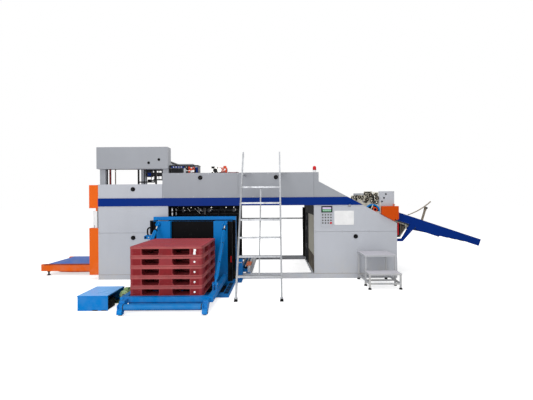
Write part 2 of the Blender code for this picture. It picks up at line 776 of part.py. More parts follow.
def covers(name, side, outlines, bars, latch_places):
    """Sheet covers on one side, joined behind their seams by flat bars, with round latches."""
    face = side * BODY_DEPTH / 2
    back = face - side * PANEL_DEPTH
    solids = [fresh(pan, outline, face, -side) for outline in outlines]
    for left, right, low, high in bars:
        y = sorted((back, back + side * SEAM_BAR_THICK))
        solids.append(fresh(block, (left, y[0], low), (right, y[1], high)))
    profile = [
        (0.0, LATCH_RADIUS), (LATCH_PROUD * 0.6, LATCH_RADIUS), (LATCH_PROUD, LATCH_RADIUS * 0.86),
    ]
    for x, top in latch_places:
        start = (x, face - side * WELD, top - LATCH_DROP)
        solids.append(fresh(turned, start, (0, side, 0), profile, 14))
    fuse(name, "grey_paint", solids)


def tower_covers(name, side):
    seam = PANEL_SEAM / 2
    outlines = (
        rectangle(LEFT, TOWER_RIGHT, BASE_HEIGHT + SEAT, SEAM_Z - seam),
        rectangle(LEFT, TOWER_RIGHT, SEAM_Z + seam, STRIPE_Z - SEAT),
        rectangle(LEFT, COLUMN_RIGHT_X - seam, STRIPE_TOP + SEAT, TOWER_PANEL_TOP),
    )
    grip = SEAM_BAR_WIDTH / 2
    bars = [(LEFT + WELD, TOWER_RIGHT - WELD, SEAM_Z - grip, SEAM_Z + grip)]
    for x in (COLUMN_LEFT_X + COLUMN_SIDE, COLUMN_RIGHT_X - SEAM_BAR_WIDTH):
        bars.append((x, x + SEAM_BAR_WIDTH - 0.01, STRIPE_Z - grip, STRIPE_TOP + grip))
    middle = (LEFT + TOWER_RIGHT) / 2
    covers(name, side, outlines, bars, ((middle, SEAM_Z), (middle, TOWER_PANEL_TOP)))


BRIDGE_START = COLUMN_RIGHT_X + PANEL_SEAM / 2
BRIDGE_MIDDLE = (COLUMN_RIGHT_X + CABINET_LEFT) / 2


def bridge_covers(name, side):
    seam = PANEL_SEAM / 2
    low = STRIPE_TOP + SEAT
    end = [
        (CABINET_LEFT + seam, low), (slope_x(low), low), (SLOPE_TOP_X, SLOPE_TOP_Z),
        (SLOPE_TOP_X, BRIDGE_TOP), (CABINET_LEFT + seam, BRIDGE_TOP),
    ]
    outlines = (
        rectangle(BRIDGE_START, BRIDGE_MIDDLE - seam, low, BRIDGE_TOP),
        rectangle(BRIDGE_MIDDLE + seam, CABINET_LEFT - seam, low, BRIDGE_TOP),
        end,
    )
    grip = SEAM_BAR_WIDTH / 2
    bars = [
        (x - grip, x + grip, low + WELD, BRIDGE_TOP - WELD) for x in (BRIDGE_MIDDLE, CABINET_LEFT)
    ]
    latch_places = (
        ((COLUMN_RIGHT_X + BRIDGE_MIDDLE) / 2, BRIDGE_TOP),
        ((BRIDGE_MIDDLE + CABINET_LEFT) / 2, BRIDGE_TOP),
    )
    covers(name, side, outlines, bars, latch_places)


def cabinet_covers(name, side):
    seam = PANEL_SEAM / 2
    top = STRIPE_Z - SEAT
    upper = [
        (CABINET_LEFT, SEAM_Z + seam), (RIGHT, SEAM_Z + seam), (RIGHT, slope_z(RIGHT)),
        (slope_x(top), top), (CABINET_LEFT, top),
    ]
    lower = rectangle(CABINET_LEFT, RIGHT, BASE_HEIGHT + SEAT, SEAM_Z - seam)
    grip = SEAM_BAR_WIDTH / 2
    bars = [(CABINET_LEFT + WELD, RIGHT - WELD, SEAM_Z - grip, SEAM_Z + grip)]
    covers(name, side, (lower, upper), bars, (((CABINET_LEFT + RIGHT) / 2, SEAM_Z),))


def stripe(name, side):
    end_low = slope_x(STRIPE_Z + SEAT)
    end_high = slope_x(STRIPE_TOP)
    outline = [
        (LEFT, STRIPE_Z + SEAT), (end_low, STRIPE_Z + SEAT), (end_high, STRIPE_TOP), (LEFT, STRIPE_TOP),
    ]
    face = side * (BODY_DEPTH / 2 + STRIPE_PROUD)
    back = side * (BODY_DEPTH / 2 - PANEL_DEPTH + SEAM_BAR_THICK + SEAT)
    node(name, fresh(prism, outline, "Y", face, back), "blue_stripe")


# Bridge and cabinet frame

HEAD_RIGHT = RIGHT - PANEL_DEPTH - SEAT
HEAD_LEFT = HEAD_RIGHT - HEAD_PLATE_LENGTH
GEAR_LEFT = HEAD_LEFT - GEAR_PLATE_LENGTH


def side_plate(name, side):
    """One cut plate a side: bridge, cabinet, head and gear plate, with a folded top flange."""
    low = BASE_HEIGHT + SEAT
    outline = [
        (TOWER_RIGHT + SEAT, STRIPE_Z), (CABINET_LEFT, STRIPE_Z), (CABINET_LEFT, low),
        (HEAD_RIGHT, low), (HEAD_RIGHT, HEAD_PLATE_TOP), (HEAD_LEFT, HEAD_PLATE_TOP),
        (HEAD_LEFT, slope_z(HEAD_LEFT) + GEAR_PLATE_RISE),
        (GEAR_LEFT, slope_z(GEAR_LEFT)), (SLOPE_TOP_X, SLOPE_TOP_Z), (SLOPE_TOP_X, FRAME_TOP),
        (TOWER_RIGHT + SEAT, FRAME_TOP),
    ]
    solids = [fresh(prism, outline, "Y", side * -PLATE_FRONT, side * -PLATE_INNER)]
    y = y_span(side, -PLATE_FRONT - WELD, -PLATE_FRONT - TOP_COVER_WIDTH)
    flange_low = FRAME_TOP - WELD
    solids.append(
        fresh(
            block, (TOWER_RIGHT + SEAT + WELD, y[0], flange_low),
            (SLOPE_TOP_X - WELD, y[1], flange_low + COVER_SHEET),
        )
    )
    fuse(name, "grey_paint", solids)


def head_gear():
    """Brackets on the head's drive side, with flanged pulleys for its belts."""
    def edge(share, rise):
        x = GEAR_LEFT + share * GEAR_PLATE_LENGTH
        return (x, slope_z(x) + rise)

    gear_z = slope_z(GEAR_LEFT)
    outline = [edge(GEAR_BRACKETS[-1][1], HEAD_GUARD_LIFT), edge(0.0, HEAD_GUARD_LIFT)]
    for start, end, top in GEAR_BRACKETS:
        left, right = edge(start, GEAR_STRIP), edge(end, GEAR_STRIP)
        z = gear_z + top
        outline += [left, (left[0] + GEAR_TAPER, z), (right[0] - GEAR_TAPER, z), right]
    back = PLATE_FRONT - SEAT
    front = back - GEAR_THICK
    solids = [fresh(prism, outline, "Y", front, back)]
    for share, rise, radius in GEAR_PULLEYS:
        profile = [(along, radius * size) for along, size in PULLEY_STEPS]
        start = (GEAR_LEFT + share * GEAR_PLATE_LENGTH, front + WELD, gear_z + rise)
        solids.append(fresh(turned, start, (0, -1, 0), profile, 10))
    fuse("head_gear", "steel", solids)


BRIDGE_BELT_Z = BRIDGE_TOP - BRIDGE_BELT_DROP
BRIDGE_DRUM_Z = BRIDGE_BELT_Z - BELT_THICK - DRUM_RADIUS
BRIDGE_DRUM_LEFT = TOWER_RIGHT + 0.12
BRIDGE_DRUM_RIGHT = SLOPE_TOP_X - 0.08
ROLLER_REACH = -PLATE_INNER - SEAT


def belt_loop(left, right, radius, thick, steps=4):
    """Inner and outer outlines of a belt round two drums, each given by its centre."""
    start, end = Vector(left), Vector(right)
    heading = math.atan2(end.y - start.y, end.x - start.x)
    outlines = []
    for reach in (radius, radius + thick):
        outline = []
        for centre, begin in ((end, heading - math.pi / 2), (start, heading + math.pi / 2)):
            for i in range(steps + 1):
                angle = begin + math.pi * i / steps
                outline.append((centre.x + reach * math.cos(angle), centre.y + reach * math.sin(angle)))
        outlines.append(outline)
    return outlines


def belt_bed(name, left, right, idlers, reach, half_width):
    """Two drums and idlers between them, with side by side belts round them, as one piece."""
    start, end = Vector(left), Vector(right)
    along = (end - start).normalized()
    upper = Vector((-along.y, along.x))
    if upper.y < 0:
        upper.negate()
    solids = [fresh(drum, "Y", centre, DRUM_RADIUS, -reach, reach, 12) for centre in (left, right)]
    # A flat of each eight-sided idler lies along the belts' inside.
    rise = DRUM_RADIUS - IDLER_RADIUS * math.cos(math.pi / 8)
    turn = math.pi / 8 + math.atan2(along.y, along.x)
    for i in range(idlers):
        centre = start.lerp(end, (i + 1) / (idlers + 1)) + upper * rise
        solids.append(fresh(prism, circle(centre, IDLER_RADIUS, 8, turn), "Y", -reach, reach))
    inner, outer = belt_loop(left, right, DRUM_RADIUS - 2 * WELD, BELT_THICK + 2 * WELD)
    pitch = (2 * half_width - BELT_WIDTH) / (BELT_COUNT - 1)
    for i in range(BELT_COUNT):
        low = -half_width + i * pitch
        solids.append(fresh(tube, outer, inner, "Y", low, low + BELT_WIDTH))
    fuse(name, "belt_rubber", solids)


def bridge_belts():
    half = ROLLER_REACH - TOP_COVER_WIDTH / 2
    left = (BRIDGE_DRUM_LEFT, BRIDGE_DRUM_Z)
    right = (BRIDGE_DRUM_RIGHT, BRIDGE_DRUM_Z)
    belt_bed("bridge_belts", left, right, BRIDGE_IDLER_COUNT, ROLLER_REACH, half)


def slope_belts():
    """Inclined belts between the infeed head and the bridge."""
    half = ROLLER_REACH - TOP_COVER_WIDTH / 2
    centres = [
        (x, slope_z(x) - SLOPE_BELT_DROP)
        for x in (SLOPE_TOP_X + 0.10, RIGHT - CONVEYOR_INSIDE - SLOPE_BELT_GAP)
    ]
    belt_bed("slope_belts", centres[0], centres[1], 1, ROLLER_REACH, half)


def cabinet_ends():
    reach = -PLATE_FRONT
    low = BASE_HEIGHT + SEAT
    end = fresh(block, (RIGHT - PANEL_DEPTH, -reach, low), (RIGHT, reach, END_PANEL_TOP))
    node("cabinet_end_panel", end, "grey_paint")

    inner = -PLATE_INNER - SEAT
    left, right = CABINET_LEFT, CABINET_LEFT + LEFT_WALL_THICK
    solids = [
        fresh(block, (left, -inner, low), (right, LEFT_PANEL_BACK, STRIPE_Z - LEFT_PANEL_DROP)),
        fresh(
            block, (left + LEFT_WALL_THICK / 2, LEFT_PANEL_BACK - WELD, low),
            (right - WELD, inner, STRIPE_Z - SEAT),
        ),
    ]
    fuse("cabinet_left_wall", "grey_paint", solids)


# Infeed conveyor and head

CONVEYOR_LOW_X = RIGHT + CONVEYOR_REACH
CONVEYOR_HIGH_X = RIGHT - CONVEYOR_INSIDE


def conveyor_point(along, drop):
    """A point in the conveyor's own frame: metres down the slope from the cabinet, and under the top edge."""
    c, s = math.cos(CONVEYOR_ANGLE), math.sin(CONVEYOR_ANGLE)
    return (RIGHT + along * c - drop * s, CONVEYOR_TOP_Z - along * s - drop * c)


CONVEYOR_LOW_ALONG = CONVEYOR_REACH / math.cos(CONVEYOR_ANGLE)
CONVEYOR_HIGH_ALONG = -CONVEYOR_INSIDE / math.cos(CONVEYOR_ANGLE)


HEAD_MIDDLE = (HEAD_LEFT + HEAD_RIGHT) / 2


def conveyor_frame(name, side):
    """Side frame with its bent strap to the cabinet's end wall and a stub shaft in the head."""
    outline = [
        conveyor_point(CONVEYOR_HIGH_ALONG, 0.0),
        conveyor_point(CONVEYOR_HIGH_ALONG, CONVEYOR_DEEP_HEIGHT),
        conveyor_point(CONVEYOR_DEEP_LENGTH, CONVEYOR_DEEP_HEIGHT),
        conveyor_point(CONVEYOR_DEEP_LENGTH + 0.03, CONVEYOR_FRAME_HEIGHT),
        conveyor_point(CONVEYOR_LOW_ALONG, CONVEYOR_FRAME_HEIGHT),
        conveyor_point(CONVEYOR_LOW_ALONG, 0.0),
    ]
    half = CONVEYOR_WIDTH / 2
    inner = half - CONVEYOR_FRAME_THICK
    solids = [fresh(prism, outline, "Y", side * half, side * inner)]
    wall = RIGHT + SEAT
    foot = wall + STRAP_FOOT
    strap = [
        (wall, STRAP_WALL_Z - STRAP_WIDTH / 2), (foot, STRAP_WALL_Z - STRAP_WIDTH / 2),
        conveyor_point(STRAP_REACH + STRAP_SPREAD, CONVEYOR_DEEP_HEIGHT - WELD),
        conveyor_point(STRAP_REACH, CONVEYOR_DEEP_HEIGHT - WELD),
        (foot - STRAP_BEND, STRAP_WALL_Z + STRAP_WIDTH / 2), (wall, STRAP_WALL_Z + STRAP_WIDTH / 2),
    ]
    solids.append(
        fresh(prism, strap, "Y", side * (half - WELD), side * (half - STRAP_THICK))
    )
    z = conveyor_z(HEAD_MIDDLE) - CONVEYOR_DEEP_HEIGHT / 2
    y = y_span(side, ROLLER_REACH, half - WELD)
    solids.append(fresh(drum, "Y", (HEAD_MIDDLE, z), STUB_RADIUS, y[0], y[1], 14))
    fuse(name, "blue_stripe", solids)


def return_rollers():
    """Dark rollers under the conveyor's upper end, between two plates inside its straps."""
    wall = RIGHT + SEAT
    low = STRAP_WALL_Z + STRAP_WIDTH / 2 + RETURN_INSET
    drop = CONVEYOR_DEEP_HEIGHT + RETURN_INSET
    outline = [
        (wall, low), (wall + STRAP_FOOT - STRAP_BEND - RETURN_INSET, low),
        conveyor_point(STRAP_REACH - RETURN_INSET, drop),
        (wall, conveyor_z(wall) - drop / math.cos(CONVEYOR_ANGLE)),
    ]
    outer = CONVEYOR_WIDTH / 2 - STRAP_THICK - SEAT
    inner = outer - RETURN_PLATE_THICK
    solids = [fresh(prism, outline, "Y", side * outer, side * inner) for side in (-1, 1)]
    for out, rise in RETURN_ROLLERS:
        reach = inner + WELD
        centre = (RIGHT + out, STRAP_WALL_Z + rise)
        solids.append(fresh(drum, "Y", centre, RETURN_RADIUS, -reach, reach, 10))
    fuse("return_rollers", "dark_steel", solids)


CONVEYOR_INNER = CONVEYOR_WIDTH / 2 - CONVEYOR_FRAME_THICK - SEAT


def conveyor_belts():
    ends = [
        conveyor_point(CONVEYOR_HIGH_ALONG + 0.08, CONVEYOR_DRUM_DROP),
        conveyor_point(CONVEYOR_LOW_ALONG - 0.08, CONVEYOR_DRUM_DROP),
    ]
    belt_bed("conveyor_belts", ends[0], ends[1], CONVEYOR_IDLER_COUNT, CONVEYOR_INNER, CONVEYOR_INNER - 0.06)


def head_guard(name, side):
    right = RIGHT + HEAD_GUARD_OVERHANG
    left = right - HEAD_GUARD_LENGTH
    corner = right - HEAD_GUARD_CORNER
    outline = [
        (left, slope_z(left) + HEAD_GUARD_LIFT), (corner, slope_z(corner) + HEAD_GUARD_LIFT),
        (right, slope_z(corner) + HEAD_GUARD_CORNER / 2), (right, HEAD_GUARD_TOP), (left, HEAD_GUARD_TOP),
    ]
    inner = -PLATE_FRONT + SEAT
    shape = fresh(prism, outline, "Y", side * inner, side * (inner + HEAD_GUARD_THICK))
    soften(node(name, shape, "orange_paint"), 0.010)


def press_rollers():
    """Press rollers over the conveyor, carried between two bearing plates."""
    belt_top = conveyor_z(HEAD_MIDDLE)
    solids = []
    outer, inner = ROLLER_REACH, ROLLER_REACH - SIDE_PLATE
    outline = [
        (HEAD_MIDDLE - PRESS_PLATE_LEFT, belt_top + PRESS_PLATE_FOOT),
        (HEAD_MIDDLE + PRESS_PLATE_RIGHT, belt_top + PRESS_PLATE_FOOT),
        (HEAD_MIDDLE + PRESS_PLATE_RIGHT, belt_top + PRESS_PLATE_RISE + PRESS_PLATE_TAPER),
        (HEAD_MIDDLE - PRESS_PLATE_LEFT, belt_top + PRESS_PLATE_RISE - PRESS_PLATE_TAPER),
    ]
    for side in (-1, 1):
        solids.append(fresh(prism, outline, "Y", side * outer, side * inner))
    for shift, rise in PRESS_ROLLERS:
        centre = (HEAD_MIDDLE + shift, belt_top + PRESS_ROLLER_RADIUS + rise)
        reach = inner + WELD
        solids.append(fresh(drum, "Y", centre, PRESS_ROLLER_RADIUS, -reach, reach, 12))
    fuse("press_rollers", "steel", solids)


# Sheet guide

GUIDE_ALONG = GUIDE_POST_X / math.cos(CONVEYOR_ANGLE)
GUIDE_BASE = conveyor_point(GUIDE_ALONG, -SEAT)
GUIDE_LEAN = math.radians(17.0)
GUIDE_Y = -CONVEYOR_WIDTH / 2 + CONVEYOR_FRAME_THICK / 2
GUIDE_PIVOT = (
    GUIDE_BASE[0] + GUIDE_POST_HEIGHT * math.sin(GUIDE_LEAN),
    GUIDE_BASE[1] + GUIDE_POST_HEIGHT * math.cos(GUIDE_LEAN),
)


def guide():
    """Leaning post with a forked head, the guide's pin through the fork, and the guide arm."""
    ear = GUIDE_ARM_WIDTH / 2 + RUNNING
    ear_out = ear + GUIDE_EAR_THICK
    lean = Matrix.Rotation(GUIDE_LEAN, 4, "Y")
    at_pivot = Matrix.Translation((GUIDE_PIVOT[0], GUIDE_Y, GUIDE_PIVOT[1])) @ lean
    half = GUIDE_POST_SIDE / 2
    neck = GUIDE_HUB_RADIUS + RUNNING
    # The foot of the post is cut to the conveyor's slope.
    slant = math.tan(CONVEYOR_ANGLE - GUIDE_LEAN)
    outline = [
        (-half, -GUIDE_POST_HEIGHT + half * slant), (half, -GUIDE_POST_HEIGHT - half * slant),
        (half, -neck), (-half, -neck),
    ]
    tab = GUIDE_EAR_HALF
    arc = [math.pi * i / 6 for i in range(7)]
    ear_outline = [(-tab, -neck - 0.03), (tab, -neck - 0.03)]
    ear_outline += [(tab * math.cos(a), tab * math.sin(a)) for a in arc]
    solids = [fresh(prism, outline, "Y", -half, half)]
    for side in (-1, 1):
        solids.append(fresh(prism, ear_outline, "Y", side * ear, side * ear_out))
    reach = ear_out - WELD
    low, high = (-tab + 2 * WELD, -reach, -neck - 0.028), (tab - 2 * WELD, reach, -neck - 0.010)
    solids.append(fresh(block, low, high))
    reach = ear_out + 4 * WELD
    solids.append(fresh(drum, "Y", (0.0, 0.0), GUIDE_PIN_RADIUS, -reach, reach, 12))
    for solid in solids:
        bmesh.ops.transform(solid, matrix=at_pivot, verts=solid.verts)
    fuse("guide_post", "dark_steel", solids)
    guide_arm()


def guide_arm():
    """Curved sheet guide: a strip bent along an arc, on a bored hub at its pivot."""
    half = GUIDE_ARM_WIDTH / 2
    to_centre = math.radians(90.0) + GUIDE_ARM_TILT
    reach = GUIDE_ARC_RADIUS + GUIDE_HUB_RADIUS + GUIDE_HUB_LIFT
    centre = (reach * math.cos(to_centre), reach * math.sin(to_centre))
    middle = to_centre + math.pi
    first, last = middle - GUIDE_TAIL / GUIDE_ARC_RADIUS, middle + GUIDE_TIP / GUIDE_ARC_RADIUS
    angles = [first + (last - first) * i / GUIDE_ARC_STEPS for i in range(GUIDE_ARC_STEPS + 1)]
    lower = [
        (centre[0] + GUIDE_ARC_RADIUS * math.cos(a), centre[1] + GUIDE_ARC_RADIUS * math.sin(a))
        for a in angles
    ]
    thinner = GUIDE_ARC_RADIUS - GUIDE_ARM_THICK
    upper = [
        (centre[0] + thinner * math.cos(a), centre[1] + thinner * math.sin(a))
        for a in reversed(angles)
    ]
    web_end = GUIDE_HUB_RADIUS + GUIDE_HUB_LIFT + GUIDE_ARM_THICK / 2
    web = (web_end * math.cos(to_centre), 0.0, web_end * math.sin(to_centre))
    solids = [
        fresh(prism, lower + upper, "Y", -half, half),
        fresh(drum, "Y", (0.0, 0.0), GUIDE_HUB_RADIUS, -half + WELD, half - WELD, 16),
        fresh(bar, (0.0, 0.0, 0.0), web, GUIDE_ARM_WIDTH - 4 * WELD, GUIDE_HUB_RADIUS),
    ]
    arm = fuse("guide_arm", "steel", solids)
    bore = GUIDE_PIN_RADIUS + GUIDE_PIN_CLEARANCE
    boolean(arm, fresh(drum, "Y", (0.0, 0.0), bore, -half - 0.01, half + 0.01, 16), "DIFFERENCE")
    arm.location = (GUIDE_PIVOT[0], GUIDE_Y, GUIDE_PIVOT[1])


# Exit end

def exit_guard(name, side):
    """Lower and upper guard box, joined by the post of the light curtain."""
    low = BASE_HEIGHT
    gap_low = low + EXIT_GUARD_LOW_HEIGHT
    gap_high = gap_low + EXIT_GUARD_GAP
    left, right = LEFT - SEAT - EXIT_GUARD_LENGTH, LEFT - SEAT
    outer = BODY_DEPTH / 2
    y = y_span(side, outer, outer - EXIT_GUARD_DEPTH)
    post_y = y_span(side, outer - 0.03, outer - 0.03 - CURTAIN_POST)
    post_right = right - 0.02
    solids = [
        fresh(block, (left, y[0], low), (right, y[1], gap_low)),
        fresh(block, (left, y[0], gap_high), (right, y[1], gap_high + EXIT_GUARD_TOP_HEIGHT)),
        fresh(
            block, (post_right - CURTAIN_POST, post_y[0], gap_low - WELD),
            (post_right, post_y[1], gap_high + WELD),
        ),
    ]
    fuse(name, "orange_paint", solids)


def exit_table():
    back = TABLE_FRONT_Y + TABLE_WIDTH
    right = LEFT - SEAT
    left = right - TABLE_LENGTH
    low = TABLE_HEIGHT - TABLE_BEAM_HEIGHT
    solids = []
    for y in (TABLE_FRONT_Y, back - TABLE_BEAM_WIDTH):
        solids.append(fresh(block, (left, y, low), (right, y + TABLE_BEAM_WIDTH, TABLE_HEIGHT)))
    inner = (TABLE_FRONT_Y + TABLE_BEAM_WIDTH - WELD, back - TABLE_BEAM_WIDTH + WELD)
    deck_low = TABLE_HEIGHT - TABLE_DECK_THICK
    end = left + TABLE_END_OVERHANG
    for x in (end, (end + right) / 2, right - 2 * TABLE_BEAM_WIDTH):
        near, far = (x, inner[0], low + WELD), (x + TABLE_BEAM_WIDTH, inner[1], deck_low + WELD)
        solids.append(fresh(block, near, far))
    solids.append(
        fresh(block, (end - WELD, inner[0], deck_low), (right - WELD, inner[1], TABLE_HEIGHT - WELD))
    )
    profile = [
        (0.0, FOOT_PAD_RADIUS), (FOOT_PAD_HEIGHT, FOOT_PAD_RADIUS),
        (FOOT_PAD_HEIGHT + 0.006, FOOT_RADIUS), (low + WELD, FOOT_RADIUS),
    ]
    for x in (left + TABLE_FOOT_INSET, right - TABLE_FOOT_INSET):
        for y in (TABLE_FRONT_Y + TABLE_BEAM_WIDTH / 2, back - TABLE_BEAM_WIDTH / 2):
            solids.append(fresh(turned, (x, y, 0.0), (0, 0, 1), profile, 12))
    fuse("exit_table", "orange_paint", solids)


# Pallet bay inside the machine

def pallet_bay():
    screen = fresh(
        block, (TOWER_RIGHT + SEAT, BAY_SCREEN_Y, BASE_HEIGHT + SEAT),
        (BAY_RIGHT, BAY_SCREEN_Y + BAY_SCREEN_THICK, STRIPE_Z - SEAT),
    )
    node("bay_screen", screen, "black_paint")
    low = BASE_HEIGHT + SEAT
    top = low + TRANSFER_HEIGHT
    front = FRONT + BASE_BEAM_WIDTH / 2
    back = BAY_SCREEN_Y - SEAT
    solids = []
    for x in (TRANSFER_LEFT, TRANSFER_RIGHT - TRANSFER_RAIL):
        solids.append(fresh(block, (x, front, low), (x + TRANSFER_RAIL, back, top)))
    track, far = BAY_RIGHT + TRANSFER_TRACK_GAP, BAY_SCREEN_Y + TRANSFER_REACH
    right = TRANSFER_RIGHT - TRANSFER_RAIL
    solids += [
        fresh(block, (right, back - WELD, low), (TRANSFER_RIGHT, far, top)),
        fresh(block, (track, front, low + WELD), (track + TRANSFER_TRACK, far, top - WELD)),
        fresh(
            block, (track + WELD, far - TRANSFER_TRACK, low + 2 * WELD),
            (right + WELD, far - WELD, top - 2 * WELD),
        ),
    ]
    inner = (TRANSFER_LEFT + TRANSFER_RAIL - WELD, TRANSFER_RIGHT - TRANSFER_RAIL + WELD)
    for y in (front + 0.05, back - 0.09):
        solids.append(
            fresh(block, (inner[0], y, low + 0.02), (inner[1], y + 0.04, top - 0.05))
        )
    fuse("transfer_conveyor", "feeder_blue", solids)


# Pallet feeder

def feeder_floor_frame():
    """Floor frame with its tray well, and the outrigger that stands beside the machine's base."""
    front = FRONT - FLOOR_FRAME_FRONT
    back = FRONT - SEAT
    half = PORTAL_HALF
    inner = half - FLOOR_RAIL_WIDTH
    left, right = FEEDER_X + half - WELD, FEEDER_X + half + OUTRIGGER_WIDTH
    outline = [(left, 0.0), (right, 0.0), (right, OUTRIGGER_HEIGHT), (right - OUTRIGGER_TOP, OUTRIGGER_HEIGHT)]
    outline.append((left, FLOOR_FRAME_HEIGHT - WELD))
    outer = back - OUTRIGGER_GAP
    solids = [
        fresh(block, (FEEDER_X - half, front, 0.0), (FEEDER_X + half, back, FLOOR_FRAME_HEIGHT)),
        fresh(prism, outline, "Y", outer - OUTRIGGER_DEPTH, outer),
        fresh(
            block, (left, outer - OUTRIGGER_FOOT, 0.0),
            (right - WELD, outer - OUTRIGGER_DEPTH + WELD, OUTRIGGER_PLATE),
        ),
    ]
    frame = fuse("feeder_floor_frame", "feeder_blue", solids)
    well = fresh(
        block,
        (FEEDER_X - inner, front + FLOOR_RAIL_WIDTH, TRAY_THICK),
        (FEEDER_X + inner, MAST_FRONT - 0.10, 2 * FLOOR_FRAME_HEIGHT),
    )
    boolean(frame, well, "DIFFERENCE")


def feeder_portal():
    half, post = PORTAL_HALF, PORTAL_POST
    low, top = FLOOR_FRAME_HEIGHT + SEAT, PORTAL_HEIGHT
    under = top - PORTAL_BEAM_HEIGHT
    outline = [
        (-half, low), (-half + post, low), (-half + post, under), (half - post, under),
        (half - post, low), (half, low), (half, top), (-half, top),
    ]
    outline = [(FEEDER_X + x, z) for x, z in outline]
    right = FEEDER_X - PORTAL_HALF + WELD
    solids = [
        fresh(prism, outline, "Y", PORTAL_FRONT, PORTAL_BACK),
        fresh(
            block,
            (right - BRACKET_LENGTH, PORTAL_FRONT + WELD, BRACKET_Z),
            (right, PORTAL_FRONT + BRACKET_SIDE, BRACKET_Z + BRACKET_SIDE),
        ),
    ]
    fuse("feeder_portal", "feeder_blue", solids)


def ear_pair(x, outline):
    """Two plates either side of a tie rod's eye."""
    gap = EYE_WIDTH / 2 + SEAT
    return [
        fresh(prism, outline, "X", x + side * gap, x + side * (gap + EAR_THICK)) for side in (-1, 1)
    ]


def feeder_masts():
    """Two masts and their outer guide channels, joined by the black back panel."""
    low = FLOOR_FRAME_HEIGHT + SEAT
    wall = GUIDE_CHANNEL_WALL
    near, far = MAST_OUTER - WELD, PORTAL_HALF - PORTAL_POST - SEAT
    channel_front = MAST_FRONT + CHANNEL_SETBACK
    half = MAST_OUTER - MAST_WIDTH + WELD
    panel_y = MAST_FRONT + PANEL_SETBACK
    solids = [
        fresh(block, (FEEDER_X - half, panel_y, low), (FEEDER_X + half, panel_y + wall, MAST_TOP - WELD))
    ]
    for side in (-1, 1):
        x = sorted((FEEDER_X + side * (MAST_OUTER - MAST_WIDTH), FEEDER_X + side * MAST_OUTER))
        solids.append(fresh(block, (x[0], MAST_FRONT, low), (x[1], MAST_BACK, MAST_TOP)))
        outline = [
            (near, channel_front), (far, channel_front), (far, MAST_BACK - WELD),
            (near, MAST_BACK - WELD), (near, MAST_BACK - WELD - wall), (far - wall, MAST_BACK - WELD - wall),
            (far - wall, channel_front + wall), (near, channel_front + wall),
        ]
        outline = [(FEEDER_X + side * x, y) for x, y in outline]
        solids.append(fresh(prism, outline, "Z", low + WELD, MAST_TOP - WELD))
        face = MAST_FRONT + WELD
        ear = [
            (face, TIE_TOP_Z - 0.05), (face, TIE_TOP_Z + 0.045), (MAST_FRONT - EYE_RADIUS, TIE_TOP_Z + 0.045),
            (MAST_FRONT - 2.2 * EYE_RADIUS, TIE_TOP_Z), (MAST_FRONT - EYE_RADIUS, TIE_TOP_Z - 0.05),
        ]
        solids += ear_pair(FEEDER_X + side * ARM_MIDDLE, ear)
    fuse("feeder_masts", "feeder_blue", solids)


TIE_TOP_Y = MAST_FRONT - 1.1 * EYE_RADIUS
TIE_FOOT_Y = MAST_FRONT - TIE_FOOT_OUT
TIE_FOOT_Z = ARM_TOP + TIE_FOOT_RISE


def tie_rod(name, side):
    """Adjustable stay: a plain eye, a rod with its lock ring, a tube, and the lower eye."""
    x = FEEDER_X + side * ARM_MIDDLE
    top, foot = Vector((x, TIE_TOP_Y, TIE_TOP_Z)), Vector((x, TIE_FOOT_Y, TIE_FOOT_Z))
    length = (foot - top).length
    narrow = EYE_WIDTH / 2 * 0.98
    profile = [
        (-0.02, narrow), (0.055, narrow), (0.06, TIE_ROD_RADIUS * 0.8),
        (TIE_ROD_LENGTH, TIE_ROD_RADIUS * 0.8), (TIE_ROD_LENGTH + 0.005, TIE_RADIUS * 1.15),
        (TIE_ROD_LENGTH + 0.03, TIE_RADIUS * 1.15), (TIE_ROD_LENGTH + 0.032, TIE_RADIUS),
        (length - 0.12, TIE_RADIUS), (length - 0.09, narrow), (length + 0.02, narrow),
    ]
    node(name, fresh(turned, top, foot - top, profile, 16), "feeder_blue", smooth=True)


WHEEL_X = BUMPER_HALF + FORK_PLATE + RUNNING + WHEEL_WIDTH / 2
BUMPER_Y = CRADLE_Y - BUMPER_FORWARD
WHEEL_Z = WHEEL_RADIUS + 0.0005


def cradle():
    """Two arms, a front beam, slats that carry the pallets, and a round bumper with wheel forks."""
    outer, inner = ARM_OUTER, ARM_INNER
    back = MAST_FRONT - SEAT
    beam_back = CRADLE_Y + ARM_WIDTH
    outline = [
        (-outer, back), (-outer, CRADLE_Y), (outer, CRADLE_Y), (outer, back),
        (inner, back), (inner, beam_back), (-inner, beam_back), (-inner, back),
    ]
    outline = [(FEEDER_X + x, y) for x, y in outline]
    solids = [fresh(prism, outline, "Z", ARM_Z, ARM_TOP)]
    panel_front = MAST_FRONT + PANEL_SETBACK - SEAT
    for i in (-1, 0, 1):
        low_x = FEEDER_X + i * SLAT_PITCH - SLAT_WIDTH / 2
        low, high = ARM_Z + WELD, ARM_Z + SLAT_HEIGHT
        near, far = (low_x, beam_back - WELD, low), (low_x + SLAT_WIDTH, panel_front, high)
        solids.append(fresh(block, near, far))
    ear = [
        (TIE_FOOT_Y - 0.07, ARM_TOP - WELD), (TIE_FOOT_Y + 0.07, ARM_TOP - WELD),
        (TIE_FOOT_Y + 0.025, TIE_FOOT_Z + 0.03), (TIE_FOOT_Y - 0.025, TIE_FOOT_Z + 0.03),
    ]
    for side in (-1, 1):
        solids += ear_pair(FEEDER_X + side * ARM_MIDDLE, ear)
    solids += bumper()
    fuse("cradle", "feeder_blue", solids)


